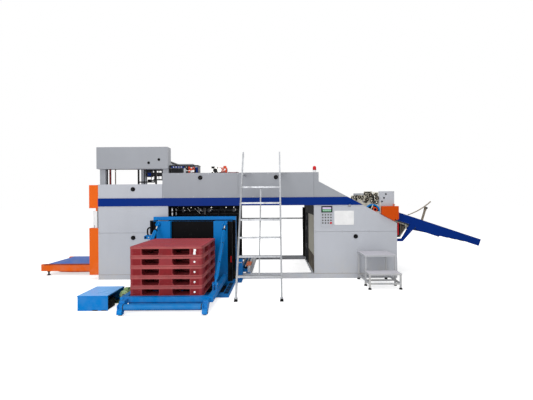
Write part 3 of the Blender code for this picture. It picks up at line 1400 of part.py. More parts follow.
def bumper():
    """Round front bar on two links, with a wheel fork and its axle at each end."""
    reach = BUMPER_HALF + 2 * WELD
    solids = [
        fresh(drum, "X", (BUMPER_Y, BUMPER_Z), BUMPER_RADIUS, FEEDER_X - reach, FEEDER_X + reach, 16)
    ]
    plate = [
        (BUMPER_Y - 0.036, BUMPER_Z + 0.030), (BUMPER_Y - 0.030, WHEEL_Z),
        (BUMPER_Y - 0.018, 0.016), (BUMPER_Y + 0.018, 0.016), (BUMPER_Y + 0.030, WHEEL_Z),
        (CRADLE_Y + WELD, ARM_Z + 0.012), (CRADLE_Y + WELD, ARM_TOP - 0.012),
    ]
    for side in (-1, 1):
        inner = side * BUMPER_HALF
        outer = side * (BUMPER_HALF + FORK_PLATE + 2 * RUNNING + WHEEL_WIDTH)
        for near in (inner, outer):
            low, high = sorted((FEEDER_X + near, FEEDER_X + near + side * FORK_PLATE))
            solids.append(fresh(prism, plate, "X", low, high))
        low, high = sorted((FEEDER_X + inner, FEEDER_X + outer + side * FORK_PLATE))
        link = ((low + WELD, BUMPER_Y + LINK_START, ARM_Z + 0.02), (high - WELD, CRADLE_Y + WELD, ARM_TOP - 0.02))
        solids.append(fresh(block, *link))
        solids.append(
            fresh(drum, "X", (BUMPER_Y, WHEEL_Z), AXLE_RADIUS, low - AXLE_END, high + AXLE_END, 14)
        )
    return solids


def wheels():
    for side, name in ((-1, "wheel_left"), (1, "wheel_right")):
        shape = bmesh.new()
        half = WHEEL_WIDTH / 2
        tube(
            shape,
            circle((0.0, 0.0), WHEEL_RADIUS, 20), circle((0.0, 0.0), WHEEL_BORE, 20), "X", -half, half,
        )
        made = node(name, shape, "black_rubber", smooth=True)
        made.location = (FEEDER_X + side * WHEEL_X, BUMPER_Y, WHEEL_Z)


def power_pack():
    right = FEEDER_X - ARM_OUTER - PACK_GAP
    left = right - PACK_LENGTH
    front = CRADLE_Y + PACK_SETBACK
    back = front + PACK_DEPTH
    sheet = PACK_SHEET
    # The cover is a folded hood, open underneath and towards the feeder.
    hood = [
        (left, 0.0), (left, PACK_HEIGHT), (right, PACK_HEIGHT), (right, PACK_HEIGHT - sheet),
        (left + sheet, PACK_HEIGHT - sheet), (left + sheet, 0.0),
    ]
    solids = [fresh(prism, hood, "Y", front, back)]
    for y in (front, back - sheet):
        low, high = (left + sheet / 2, y, 0.0), (right - WELD, y + sheet, PACK_HEIGHT - sheet / 2)
        solids.append(fresh(block, low, high))
    fuse("power_pack_cover", "feeder_blue", solids)

    x = right + sheet + PUMP_RADIUS
    y = back - PUMP_LENGTH + PUMP_OVERHANG
    z = PUMP_RADIUS + PUMP_RISE
    profile = [
        (0.0, PUMP_RADIUS * 0.7), (PUMP_END, PUMP_RADIUS), (PUMP_LENGTH - PUMP_END, PUMP_RADIUS),
        (PUMP_LENGTH, PUMP_RADIUS * 0.7),
    ]
    solids = [fresh(turned, (x, y, z), (0, 1, 0), profile, 16)]
    half = PUMP_RADIUS * 0.7
    for step in (PUMP_FOOT_INSET, PUMP_LENGTH - PUMP_FOOT_INSET - PUMP_FOOT_LENGTH):
        low, high = (x - half, y + step, WELD), (x + half, y + step + PUMP_FOOT_LENGTH, z - PUMP_RADIUS / 3)
        solids.append(fresh(block, low, high))
    # The motor's bed plate runs in under the hood, against its back wall.
    low = (right - PACK_BED_REACH, y + PUMP_END, 0.0)
    solids.append(fresh(block, low, (x + half + sheet, back - sheet - SEAT, PACK_BED_THICK)))
    fuse("pump_motor", "pump_green", solids)


# Pallets

def rounded_square(side, radius, steps=2):
    """Plan outline with round corners."""
    half = side / 2
    points = []
    for quarter, (cx, cy) in enumerate(((1, 1), (-1, 1), (-1, -1), (1, -1))):
        for i in range(steps + 1):
            angle = math.pi / 2 * (quarter + i / steps)
            points.append(
                (
                    cx * (half - radius) + radius * math.cos(angle),
                    cy * (half - radius) + radius * math.sin(angle),
                )
            )
    return points


def pocket(low, high):
    """Cross section of a fork pocket, narrower at its foot."""
    bottom, top = PALLET_BASE, PALLET_HEIGHT - PALLET_DECK
    return [(low + 0.022, bottom), (high - 0.022, bottom), (high, bottom + 0.03), (high, top), (low, top), (low, bottom + 0.03)]


def pallets():
    """Moulded pallets: one solid each, with fork pockets both ways and a window frame below."""
    half = PALLET_SIDE / 2
    edges = (PALLET_MIDDLE_BLOCK / 2, half - PALLET_CORNER_BLOCK)
    first_z = ARM_Z + SLAT_HEIGHT + SEAT
    centre_y = CRADLE_Y + ARM_WIDTH + PALLET_FRONT_GAP + half
    shape = bmesh.new()
    prism(shape, rounded_square(PALLET_SIDE, PALLET_CORNER_RADIUS), "Z", 0.0, PALLET_HEIGHT)
    model = node("pallet_1", shape, "pallet_plastic")
    for axis in ("X", "Y"):
        cutter = bmesh.new()
        for side in (-1, 1):
            low, high = sorted((side * edges[0], side * edges[1]))
            prism(cutter, pocket(low, high), axis, -half - 0.05, half + 0.05)
        boolean(model, cutter, "DIFFERENCE")
    windows = bmesh.new()
    for sx in (-1, 1):
        for sy in (-1, 1):
            x = sorted((sx * (edges[0] + 0.035), sx * (edges[1] - 0.035)))
            y = sorted((sy * (edges[0] + 0.035), sy * (edges[1] - 0.035)))
            block(windows, (x[0], y[0], -0.02), (x[1], y[1], PALLET_BASE + 0.02))
    boolean(model, windows, "DIFFERENCE")
    for i in range(PALLET_COUNT):
        made = model if i == 0 else bpy.data.objects.new(f"pallet_{i + 1}", model.data)
        if i:
            bpy.context.scene.collection.objects.link(made)
        made.location = (FEEDER_X - PALLET_OFFSET, centre_y, first_z + i * (PALLET_HEIGHT + SEAT))


# Ladder

def ladder():
    """Rails, treads, middle struts, hooks and feet, welded as one."""
    lean = Vector((0.0, math.cos(LADDER_ANGLE), math.sin(LADDER_ANGLE)))
    top = Vector((0.0, FRONT - LADDER_TOP_GAP, LADDER_FOOT_HEIGHT + LADDER_RAIL_LENGTH * lean.z))
    bottom = top - lean * LADDER_RAIL_LENGTH
    inner = LADDER_WIDTH / 2 - LADDER_RAIL_WIDTH
    half = LADDER_RAIL_DEPTH / 2
    solids = []
    outline = [
        (bottom.y - half / lean.z, bottom.z - WELD), (bottom.y + half / lean.z, bottom.z - WELD),
        (top.y + half * lean.z, top.z - half * lean.y), (top.y - half * lean.z, top.z + half * lean.y),
    ]
    for side in (-1, 1):
        low, high = sorted((LADDER_X + side * inner, LADDER_X + side * LADDER_WIDTH / 2))
        solids.append(fresh(prism, outline, "X", low, high))

    def rail_y(z):
        return bottom.y + (z - bottom.z) / math.tan(LADDER_ANGLE)

    heights = [LADDER_FIRST_TREAD + i * LADDER_TREAD_STEP for i in range(LADDER_TREADS)]
    for z in heights:
        near = (LADDER_X - inner - WELD, rail_y(z) - LADDER_TREAD_DEPTH / 2, z - LADDER_TREAD_THICK)
        far = (LADDER_X + inner + WELD, rail_y(z) + LADDER_TREAD_DEPTH / 2, z)
        solids.append(fresh(block, near, far))
    side = LADDER_STRUT / 2
    for z in heights[:-1]:
        low, high = z - WELD, z + LADDER_TREAD_STEP - LADDER_TREAD_THICK + WELD
        outline = [
            (rail_y(low) - side, low), (rail_y(low) + side, low),
            (rail_y(high) + side, high), (rail_y(high) - side, high),
        ]
        solids.append(fresh(prism, outline, "X", LADDER_X - side, LADDER_X + side))
    hook_z = BRIDGE_TOP - LADDER_HOOK_DROP
    outline = [
        (rail_y(hook_z), hook_z - 0.02), (FRONT - SEAT, hook_z - 0.02),
        (FRONT - SEAT, hook_z + 0.02), (rail_y(hook_z), hook_z + 0.02),
    ]
    size = LADDER_FOOT_SIDE / 2
    for side in (-1, 1):
        edge = side * (inner + WELD)
        low, high = sorted((LADDER_X + edge, LADDER_X + edge - side * LADDER_HOOK_THICK))
        solids.append(fresh(prism, outline, "X", low, high))
        x = LADDER_X + side * (LADDER_WIDTH / 2 - LADDER_RAIL_WIDTH / 2)
        near, far = (x - size, bottom.y - size, 0.0), (x + size, bottom.y + size, LADDER_FOOT_HEIGHT)
        solids.append(fresh(block, near, far))
    fuse("ladder", "aluminium", solids)


# Stool

def stool():
    """Two-step stool of square tube with folded treads and round feet."""
    back = FRONT - STOOL_BACK_GAP
    middle = back - STOOL_HIGH_DEPTH
    front = middle - STOOL_LOW_DEPTH
    half, side_length = STOOL_WIDTH / 2, STOOL_TUBE
    solids = []
    rows = (
        (front, STOOL_STEP_RISE), (middle - side_length, 2 * STOOL_STEP_RISE),
        (back - side_length, 2 * STOOL_STEP_RISE),
    )
    foot = [
        (0.0, STOOL_FOOT_RADIUS), (STOOL_FOOT_HEIGHT * 0.6, STOOL_FOOT_RADIUS),
        (STOOL_FOOT_HEIGHT + WELD, side_length * 0.45),
    ]
    for side in (-1, 1):
        x = sorted((STOOL_X + side * half, STOOL_X + side * (half - side_length)))
        for y, height in rows:
            near = (x[0], y, STOOL_FOOT_HEIGHT)
            far = (x[1], y + side_length, height - STOOL_TREAD_THICK + WELD)
            solids.append(fresh(block, near, far))
            centre = ((x[0] + x[1]) / 2, y + side_length / 2, 0.0)
            solids.append(fresh(turned, centre, (0, 0, 1), foot, 10))
        near = (x[0] + WELD, front + WELD, STOOL_RAIL_Z)
        far = (x[1] - WELD, back - WELD, STOOL_RAIL_Z + side_length)
        solids.append(fresh(block, near, far))
    reach = half - side_length + WELD
    for y, height in rows:
        near = (STOOL_X - reach, y + WELD, STOOL_RAIL_Z + WELD)
        far = (STOOL_X + reach, y + side_length - WELD, STOOL_RAIL_Z + side_length - WELD)
        solids.append(fresh(block, near, far))
    edge = STOOL_TREAD_EDGE
    low_tread = (front - edge, middle - side_length + WELD, STOOL_STEP_RISE)
    high_tread = (middle - side_length - edge, back + edge, 2 * STOOL_STEP_RISE)
    for y_low, y_high, top in (low_tread, high_tread):
        near = (STOOL_X - half - edge, y_low, top - STOOL_TREAD_THICK)
        far = (STOOL_X + half + edge, y_high, top)
        solids.append(fresh(block, near, far))
    fuse("step_stool", "aluminium", solids)


# On the bridge

TOP_Z = FRAME_TOP - WELD + COVER_SHEET + SEAT
TOP_Y = PLATE_FRONT + 0.03


def beacon():
    x, y = CABINET_LEFT + BEACON_INSET, TOP_Y + BEACON_SETBACK
    profile = [
        (0.0, BEACON_RADIUS * 1.05), (0.012, BEACON_RADIUS * 1.05), (0.014, BEACON_RADIUS * 0.85),
        (BEACON_BASE_HEIGHT, BEACON_RADIUS),
    ]
    base_shape = fresh(turned, (x, y, TOP_Z), (0, 0, 1), profile, 18)
    node("beacon_base", base_shape, "white_plastic", smooth=True)
    height = BEACON_LENS_HEIGHT
    profile = [
        (0.0, BEACON_RADIUS), (height * 0.7, BEACON_RADIUS * 0.98), (height * 0.9, BEACON_RADIUS * 0.8),
        (height, BEACON_RADIUS * 0.35),
    ]
    low = TOP_Z + BEACON_BASE_HEIGHT + SEAT
    node("beacon_lens", fresh(turned, (x, y, low), (0, 0, 1), profile, 18), "red_lens", smooth=True)


def valve_box():
    """Open-fronted sheet box with the valve bank inside it."""
    left, right = VALVE_BOX_X - VALVE_BOX_LENGTH / 2, VALVE_BOX_X + VALVE_BOX_LENGTH / 2
    low, top, sheet = TOP_Z, TOP_Z + VALVE_BOX_HEIGHT, VALVE_BOX_SHEET
    outer = rectangle(left, right, low, top)
    inner = rectangle(left + sheet, right - sheet, low + sheet, top - sheet)
    solids = [fresh(tube, outer, inner, "Y", TOP_Y, TOP_Y + VALVE_BOX_DEPTH)]
    y = (TOP_Y + 0.03, TOP_Y + 0.16)
    floor = low + sheet - WELD
    solids.append(fresh(block, (left + 0.03, y[0], floor), (left + 0.25, y[1], floor + 0.09)))
    for i in range(VALVES):
        x = left + 0.33 + i * VALVE_PITCH
        height = 0.11 - 0.012 * (i % 2)
        solids.append(fresh(block, (x, y[0], floor), (x + 0.7 * VALVE_PITCH, y[1], floor + height)))
    fuse("valve_box", "dark_steel", solids)


def bridge_drive():
    """Worm gear box with its motor, on the front top flange."""
    x, half = DRIVE_X, DRIVE_GEARBOX / 2
    y = (TOP_Y + 0.02, TOP_Y + 0.02 + DRIVE_GEARBOX)
    radius, length = DRIVE_MOTOR_RADIUS, DRIVE_MOTOR_LENGTH
    profile = [
        (0.0, radius * 0.8), (0.02, radius), (length - 0.03, radius), (length, radius * 0.75),
    ]
    solids = [
        fresh(block, (x - half - 0.02, y[0], TOP_Z), (x + half, y[1], TOP_Z + DRIVE_GEARBOX)),
        fresh(turned, (x + half - WELD, (y[0] + y[1]) / 2, TOP_Z + half), (1, 0, 0), profile, 14),
    ]
    fuse("bridge_drive", "steel", solids)


def console():
    """Control panel with its touch screen, on the cabinet's front."""
    left = CABINET_LEFT + CONSOLE_LEFT
    top = STRIPE_Z - CONSOLE_TOP_DROP
    face = FRONT - SEAT
    front = face - CONSOLE_THICK
    panel = fresh(block, (left, front, top - CONSOLE_HEIGHT), (left + CONSOLE_WIDTH, face, top))
    node("control_console", panel, "grey_paint")
    screen = fresh(
        block, (left + 0.004, front - SEAT - SCREEN_THICK, top - SCREEN_HEIGHT - 0.01),
        (left + CONSOLE_WIDTH - 0.004, front - SEAT, top - 0.01),
    )
    node("touch_screen", screen, "black_paint")


def main():
    for stale in list(bpy.data.objects):
        bpy.data.objects.remove(stale)
    base()
    for word, side in (("front", -1), ("rear", 1)):
        tower_frame(f"{word}_tower_frame", side)
        tower_covers(f"{word}_tower_covers", side)
        bridge_covers(f"{word}_bridge_covers", side)
        cabinet_covers(f"{word}_cabinet_covers", side)
        stripe(f"{word}_stripe", side)
        side_plate(f"{word}_side_plate", side)
        conveyor_frame(f"{word}_conveyor_frame", side)
        head_guard(f"{word}_head_guard", side)
        exit_guard(f"{word}_exit_guard", side)
    for word, x, side in zip(("left", "right"), chain_places(), (-1, 1)):
        lift_gear(f"{word}_lift_gear", x, side)
        tie_rod(f"{word}_tie_rod", side)
    rear_stay()
    lift_table()
    lift_drive()
    bridge_belts()
    slope_belts()
    cabinet_ends()
    conveyor_belts()
    return_rollers()
    press_rollers()
    head_gear()
    guide()
    exit_table()
    pallet_bay()
    feeder_floor_frame()
    feeder_portal()
    feeder_masts()
    cradle()
    wheels()
    power_pack()
    pallets()
    ladder()
    stool()
    beacon()
    valve_box()
    bridge_drive()
    console()


main()
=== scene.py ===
"""Finishes, fittings and small machinery of a sheet stacker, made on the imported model.

Laid out as an add-on and run as a script. Metres, +Z up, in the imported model's own frame: +X runs
towards the infeed conveyor, and the operator side is -Y.
"""

import json
import math

import bmesh
import bpy
from bpy.props import FloatProperty, FloatVectorProperty, IntProperty, PointerProperty
from bpy.types import Operator, Panel, PropertyGroup
from mathutils import Matrix, Vector


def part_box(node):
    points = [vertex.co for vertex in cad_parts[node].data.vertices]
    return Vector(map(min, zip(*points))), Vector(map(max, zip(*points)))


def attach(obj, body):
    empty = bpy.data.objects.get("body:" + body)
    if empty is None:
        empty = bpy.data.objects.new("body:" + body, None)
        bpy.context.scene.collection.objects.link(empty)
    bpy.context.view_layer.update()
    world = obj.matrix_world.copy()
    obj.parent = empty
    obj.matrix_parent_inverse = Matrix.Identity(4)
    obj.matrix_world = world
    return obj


bl_info = {
    "name": "Sheet stacker looks",
    "version": (1, 0, 0),
    "blender": (4, 5, 0),
    "location": "3D View > Sidebar > Stacker",
    "description": "Finishes, fittings and small machinery of a sheet stacker",
    "category": "Object",
}

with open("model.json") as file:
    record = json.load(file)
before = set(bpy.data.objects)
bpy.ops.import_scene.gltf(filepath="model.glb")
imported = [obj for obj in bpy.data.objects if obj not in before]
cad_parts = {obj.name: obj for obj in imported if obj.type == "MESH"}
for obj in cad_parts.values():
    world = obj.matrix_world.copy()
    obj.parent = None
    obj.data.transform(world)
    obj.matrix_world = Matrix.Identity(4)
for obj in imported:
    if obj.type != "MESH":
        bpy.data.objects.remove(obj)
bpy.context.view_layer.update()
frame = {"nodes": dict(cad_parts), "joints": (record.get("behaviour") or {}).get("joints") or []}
MACHINE_LOW, MACHINE_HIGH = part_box("base_frame")
FRONT, REAR = MACHINE_LOW.y, MACHINE_HIGH.y
SIDES = (("front", -1, FRONT), ("rear", 1, REAR))


# Settings

def linear(value):
    """A screen value from 0 to 255 as a linear one."""
    share = value / 255
    return share / 12.92 if share <= 0.04045 else ((share + 0.055) / 1.055) ** 2.4


def colour(name, description, red, green, blue):
    return FloatVectorProperty(
        name=name, description=description, subtype="COLOR", min=0.0, max=1.0,
        default=[linear(value) for value in (red, green, blue)],
    )


def length(name, description, default):
    return FloatProperty(
        name=name, description=description, default=default, min=0.0,
        subtype="DISTANCE", unit="LENGTH",
    )


class StackerColours(PropertyGroup):
    """Colours of the paints, plastics and metals."""

    panel_grey: colour("Panel grey", "Powder coat of the covers and columns", 184, 187, 194)
    # Painted shade: a darker copy of the panel grey for the crosshead, columns and bridge, which stand in
    # more shade
    shaded_upper_grey: colour("Upper grey", "Powder coat of the crosshead, columns and bridge", 156, 159, 165)
    warm_grey: colour("Warm grey", "Older sheet on the cabinet's inner wall", 186, 182, 166)
    skirt_brown: colour("Skirt brown", "Oil-stained foot of the inner wall", 84, 74, 60)
    stripe_blue: colour("Stripe blue", "Side stripe and conveyor frames", 0, 42, 122)
    guard_orange: colour("Guard orange", "Exit guards and exit table", 230, 102, 28)
    head_orange: colour("Head orange", "Guards beside the infeed head", 200, 74, 12)
    feeder_blue: colour("Feeder blue", "Pallet feeder, lift table and power pack", 0, 116, 190)
    deck_blue: colour("Deck blue", "Top of the exit table", 74, 118, 206)
    pallet_red: colour("Pallet red", "Moulded pallets", 140, 48, 54)
    # Painted shade: the sunk fields are darker for the shade in their recesses
    pallet_field_shade: colour("Pallet field", "Sunk fields on the pallets' blocks", 122, 26, 32)
    # Partly rubbed wear and partly painted highlight: the pale edges and bands along the decks
    pallet_lip_wear_and_highlight: colour("Pallet lip", "Rubbed edges of the pallets' decks", 160, 80, 80)
    # Painted shade: the dark line under each deck lip where one pallet sits on the next
    pallet_joint_painted_shade: colour("Pallet shade", "Joints between the pallets", 74, 20, 30)
    belt_green: colour("Belt green", "Flat transport belts", 46, 58, 54)
    black_paint: colour("Black paint", "Screens, liners and latches", 5, 5, 8)
    steel: colour("Steel", "Ground steel rollers and shafts", 176, 174, 170)
    worn_steel: colour("Worn steel", "Pulleys and brackets of the infeed head", 152, 140, 124)
    oiled_steel: colour("Oiled steel", "Chains, sprockets and gear boxes", 48, 48, 52)
    aluminium: colour("Aluminium", "Ladder, stool and stays", 176, 178, 182)
    rubber: colour("Rubber", "Wheels and feet", 24, 24, 25)
    pump_green: colour("Pump green", "Pump motor", 150, 178, 120)
    signal_red: colour("Signal red", "Beacon lens and stop button", 200, 22, 30)
    motor_red: colour("Motor red", "Small motor and valve bodies", 206, 74, 44)
    rod_red: colour("Rod red", "Guide rods and the rail on the bridge", 120, 40, 40)
    ivory: colour("Ivory", "Beacon base, plates and light curtain", 232, 232, 232)
    cream: colour("Cream", "Light curtain posts and the head's brackets", 216, 211, 195)
    # Painted light: the treads are lighter than the stool's frame because their tops face the light
    lit_tread_grey: colour("Tread grey", "Treads of the stool", 198, 197, 204)
    roller_blue: colour("Roller blue", "Bumper roller, knuckles and hard pipes", 22, 112, 178)
    # Painted shade: the dark band under the bumper roller and along the foot of the beam
    navy: colour("Navy", "Foot of the bumper and the beam", 10, 48, 112)
    # Painted reflection: the lid's pale blue top stands for the sky it mirrors
    lid_reflection_blue: colour("Lid blue", "Power pack's lid", 120, 188, 252)
    # Painted light: the top pallet's deck is lighter than the sides because it faces the light
    lit_deck_red: colour("Deck red", "Top pallet's deck", 180, 74, 82)
    tray_orange: colour("Tray orange", "Tray under the exit table's beam", 176, 70, 22)
    dust: colour("Dust", "Paper dust near the floor", 196, 190, 178)


class StackerSizes(PropertyGroup):
    """Sizes of the fittings."""

    seam_height: length("Seam height", "Joint between the lower and middle covers", 0.96)
    latch_drop: length("Latch drop", "From a cover's top edge to its latch", 0.100)
    latch_radius: length("Latch radius", "Cup of a cover latch", 0.0452)
    screw_radius: length("Screw radius", "Button-head cover screws", 0.0055)
    screw_pitch: length("Screw pitch", "Between cover screws", 0.30)
    bolt_radius: length("Bolt radius", "Across the corners of a frame bolt, halved", 0.011)
    chain_pitch: length("Chain pitch", "Between the pins of the lift chains", 0.0381)
    drum_radius: length("Drum radius", "End drums of the belt beds, belt included", 0.061)
    fin_pitch: length("Fin pitch", "Between cooling fins", 0.012)
    deck_rib_pitch: length("Deck rib pitch", "Between ribs on a pallet's deck", 0.092)
    tread_ridge_pitch: length("Tread ridge pitch", "Between ridges on the treads", 0.016)
    button_pitch: length("Button pitch", "Between push buttons on the console", 0.056)
    button_rows: IntProperty(
        name="Button rows", description="Rows and columns of push buttons", default=4, min=1, max=8
    )


class StackerStage(PropertyGroup):
    """Camera, floor and lamps."""

    camera_place: FloatVectorProperty(
        name="Camera place", description="Where the camera stands", subtype="TRANSLATION",
        unit="LENGTH", default=(0.5675, -8.145, 1.62),
    )
    camera_lens: FloatProperty(
        name="Lens", description="Focal length on a 36 mm wide sensor", default=22.83,
        unit="CAMERA",
    )
    camera_shift: FloatProperty(
        name="Shift", description="Sideways shift of the picture", default=-0.016
    )
    camera_roll: FloatProperty(
        name="Roll", description="Tilt of the camera to its right", default=0.0066,
        subtype="ANGLE", unit="ROTATION",
    )
    key_power: FloatProperty(
        name="Key lamp", description="Large soft lamp on the operator side", default=520.0,
        unit="POWER",
    )
    top_power: FloatProperty(
        name="Top lamp", description="Large soft lamp overhead", default=400.0, unit="POWER"
    )
    rear_power: FloatProperty(
        name="Rear lamp", description="Soft lamp behind the machine", default=260.0, unit="POWER"
    )
    sky_level: FloatProperty(
        name="Sky level", description="Even light from all round", default=0.50, min=0.0
    )
    mirror_level: FloatProperty(
        name="Mirror level", description="The surroundings as shiny pieces reflect them",
        default=0.45, min=0.0,
    )
    floor_glow: FloatProperty(
        name="Floor glow", description="Light added to the floor that the camera sees",
        default=0.62, min=0.0,
    )


def colours():
    return bpy.context.scene.stacker_colours


def sizes():
    return bpy.context.scene.stacker_sizes


# Node trees

def new_tree(name, kind, inputs, outputs):
    """A node group with named sockets; returns it with what feeds it and what it puts out."""
    tree = bpy.data.node_groups.new(name, kind)
    for label, socket_type, value in inputs:
        made = tree.interface.new_socket(label, in_out="INPUT", socket_type="NodeSocket" + socket_type)
        if value is not None:
            made.default_value = value
    for label, socket_type in outputs:
        tree.interface.new_socket(label, in_out="OUTPUT", socket_type="NodeSocket" + socket_type)
    given = tree.nodes.new("NodeGroupInput").outputs
    result = tree.nodes.new("NodeGroupOutput").inputs
    return tree, given, result


def add(tree, kind, feeds=None, **settings):
    """A node with its settings. Each feed is a value or the socket that drives the input."""
    made = tree.nodes.new(kind)
    for label, value in settings.items():
        setattr(made, label, value)
    for label, source in (feeds or {}).items():
        if isinstance(source, bpy.types.NodeSocket):
            tree.links.new(source, made.inputs[label])
        else:
            made.inputs[label].default_value = source
    return made


def mixed(tree, share, first, second, mode="MIX"):
    """Two colours mixed; returns the result's socket."""
    feeds = {0: share, 6: first, 7: second}
    return add(tree, "ShaderNodeMix", feeds, data_type="RGBA", blend_type=mode).outputs[2]


def maths(tree, operation, first, second=0.0):
    feeds = {0: first, 1: second}
    return add(tree, "ShaderNodeMath", feeds, operation=operation).outputs[0]


def ranged(tree, value, low, high, to_low=0.0, to_high=1.0):
    feeds = {
        "Value": value, "From Min": low, "From Max": high, "To Min": to_low, "To Max": to_high,
    }
    return add(tree, "ShaderNodeMapRange", feeds).outputs["Result"]


def noise(tree, place, scale, detail=3.0, roughness=0.55):
    feeds = {"Vector": place, "Scale": scale, "Detail": detail, "Roughness": roughness}
    return add(tree, "ShaderNodeTexNoise", feeds).outputs["Fac"]


def stretched(tree, place, scale):
    """Object coordinates stretched differently along each axis."""
    feeds = {"Vector": place, "Scale": scale}
    return add(tree, "ShaderNodeMapping", feeds).outputs["Vector"]


SURFACE_OUTPUTS = [("Color", "Color"), ("Roughness", "Float"), ("Height", "Float")]
WHITE = (1.0, 1.0, 1.0, 1.0)


def paint_film():
    """Powder coat: slow tone change over a sheet, dust near the floor, rubbed spots, orange peel."""
    tree, given, result = new_tree(
        "Paint film", "ShaderNodeTree",
        [
            ("Color", "Color", WHITE), ("Dust Color", "Color", WHITE), ("Dust", "Float", 0.2),
            ("Rubbed Color", "Color", WHITE), ("Rubbed", "Float", 0.1), ("Gloss", "Float", 0.4),
        ],
        SURFACE_OUTPUTS,
    )
    place = add(tree, "ShaderNodeTexCoord").outputs["Object"]
    slow = noise(tree, place, 0.8, 4.0)
    tone = ranged(tree, slow, 0.3, 0.7, 0.95, 1.035)
    streaks = noise(tree, stretched(tree, place, (5.0, 5.0, 0.5)), 1.0, 5.0)
    tone = maths(tree, "MULTIPLY", tone, ranged(tree, streaks, 0.35, 0.7, 1.012, 0.985))
    base = mixed(tree, 1.0, given["Color"], tone, "MULTIPLY")
    height = add(tree, "ShaderNodeSeparateXYZ", {"Vector": place}).outputs["Z"]
    settled = ranged(tree, height, 0.0, 0.55, 1.0, 0.0)
    patches = ranged(tree, noise(tree, place, 6.5, 6.0, 0.65), 0.40, 0.68)
    dusty = maths(tree, "MULTIPLY", maths(tree, "MULTIPLY", settled, patches), given["Dust"])
    base = mixed(tree, dusty, base, given["Dust Color"])
    marks = noise(tree, stretched(tree, place, (30.0, 30.0, 9.0)), 1.0, 8.0, 0.72)
    zones = ranged(tree, noise(tree, place, 2.1, 3.0), 0.50, 0.62)
    rubbed = maths(tree, "MULTIPLY", ranged(tree, marks, 0.62, 0.70), zones)
    rubbed = maths(tree, "MULTIPLY", rubbed, given["Rubbed"])
    base = mixed(tree, rubbed, base, given["Rubbed Color"])
    tree.links.new(base, result["Color"])
    rough = maths(tree, "ADD", given["Gloss"], ranged(tree, slow, 0.3, 0.7, -0.06, 0.06))
    rough = maths(tree, "ADD", rough, maths(tree, "MULTIPLY", dusty, 0.4))
    tree.links.new(rough, result["Roughness"])
    peel = maths(tree, "MULTIPLY", noise(tree, place, 380.0, 2.0), 0.35)
    waves = maths(tree, "MULTIPLY", noise(tree, place, 2.6, 2.0), 0.65)
    tree.links.new(maths(tree, "ADD", peel, waves), result["Height"])
    return tree


def metal_grain():
    """Metal with its grinding or drawing lines, and tarnish in patches."""
    tree, given, result = new_tree(
        "Metal grain", "ShaderNodeTree",
        [
            ("Color", "Color", WHITE), ("Tarnish Color", "Color", WHITE), ("Tarnish", "Float", 0.2),
            ("Grain", "Vector", (20.0, 20.0, 400.0)), ("Gloss", "Float", 0.35),
        ],
        SURFACE_OUTPUTS,
    )
    place = add(tree, "ShaderNodeTexCoord").outputs["Object"]
    feeds = {0: place, 1: given["Grain"]}
    along = add(tree, "ShaderNodeVectorMath", feeds, operation="MULTIPLY").outputs["Vector"]
    lines = noise(tree, along, 1.0, 4.0, 0.6)
    base = mixed(tree, 1.0, given["Color"], ranged(tree, lines, 0.3, 0.7, 0.86, 1.08), "MULTIPLY")
    patches = ranged(tree, noise(tree, place, 9.0, 6.0, 0.7), 0.45, 0.70)
    stained = maths(tree, "MULTIPLY", patches, given["Tarnish"])
    tree.links.new(mixed(tree, stained, base, given["Tarnish Color"]), result["Color"])
    rough = maths(tree, "ADD", given["Gloss"], ranged(tree, lines, 0.3, 0.7, -0.07, 0.09))
    rough = maths(tree, "ADD", rough, maths(tree, "MULTIPLY", stained, 0.25))
    tree.links.new(rough, result["Roughness"])
    tree.links.new(lines, result["Height"])
    return tree


def moulded_skin():
    """Moulded plastic or rubber: mottled, with pale scuffs drawn along it and a fine grain."""
    tree, given, result = new_tree(
        "Moulded skin", "ShaderNodeTree",
        [
            ("Color", "Color", WHITE), ("Scuff Color", "Color", WHITE), ("Scuffs", "Float", 0.3),
            ("Mottle", "Float", 0.15), ("Gloss", "Float", 0.5),
        ],
        SURFACE_OUTPUTS,
    )
    place = add(tree, "ShaderNodeTexCoord").outputs["Object"]
    clouds = noise(tree, place, 5.0, 6.0, 0.65)
    dark = maths(tree, "SUBTRACT", 1.0, given["Mottle"])
    feeds = {"Value": clouds, "From Min": 0.32, "From Max": 0.68, "To Min": dark, "To Max": 1.06}
    tone = add(tree, "ShaderNodeMapRange", feeds).outputs["Result"]
    base = mixed(tree, 1.0, given["Color"], tone, "MULTIPLY")
    drawn = noise(tree, stretched(tree, place, (9.0, 16.0, 90.0)), 1.0, 8.0, 0.7)
    zones = ranged(tree, noise(tree, place, 3.4, 4.0), 0.42, 0.62)
    scuffed = maths(tree, "MULTIPLY", ranged(tree, drawn, 0.56, 0.68), zones)
    scuffed = maths(tree, "MULTIPLY", scuffed, given["Scuffs"])
    tree.links.new(mixed(tree, scuffed, base, given["Scuff Color"]), result["Color"])
    rough = maths(tree, "ADD", given["Gloss"], ranged(tree, clouds, 0.3, 0.7, -0.08, 0.10))
    tree.links.new(rough, result["Roughness"])
    grain = maths(tree, "MULTIPLY", noise(tree, place, 260.0, 3.0), 0.6)
    tree.links.new(maths(tree, "ADD", grain, maths(tree, "MULTIPLY", drawn, 0.4)), result["Height"])
    return tree


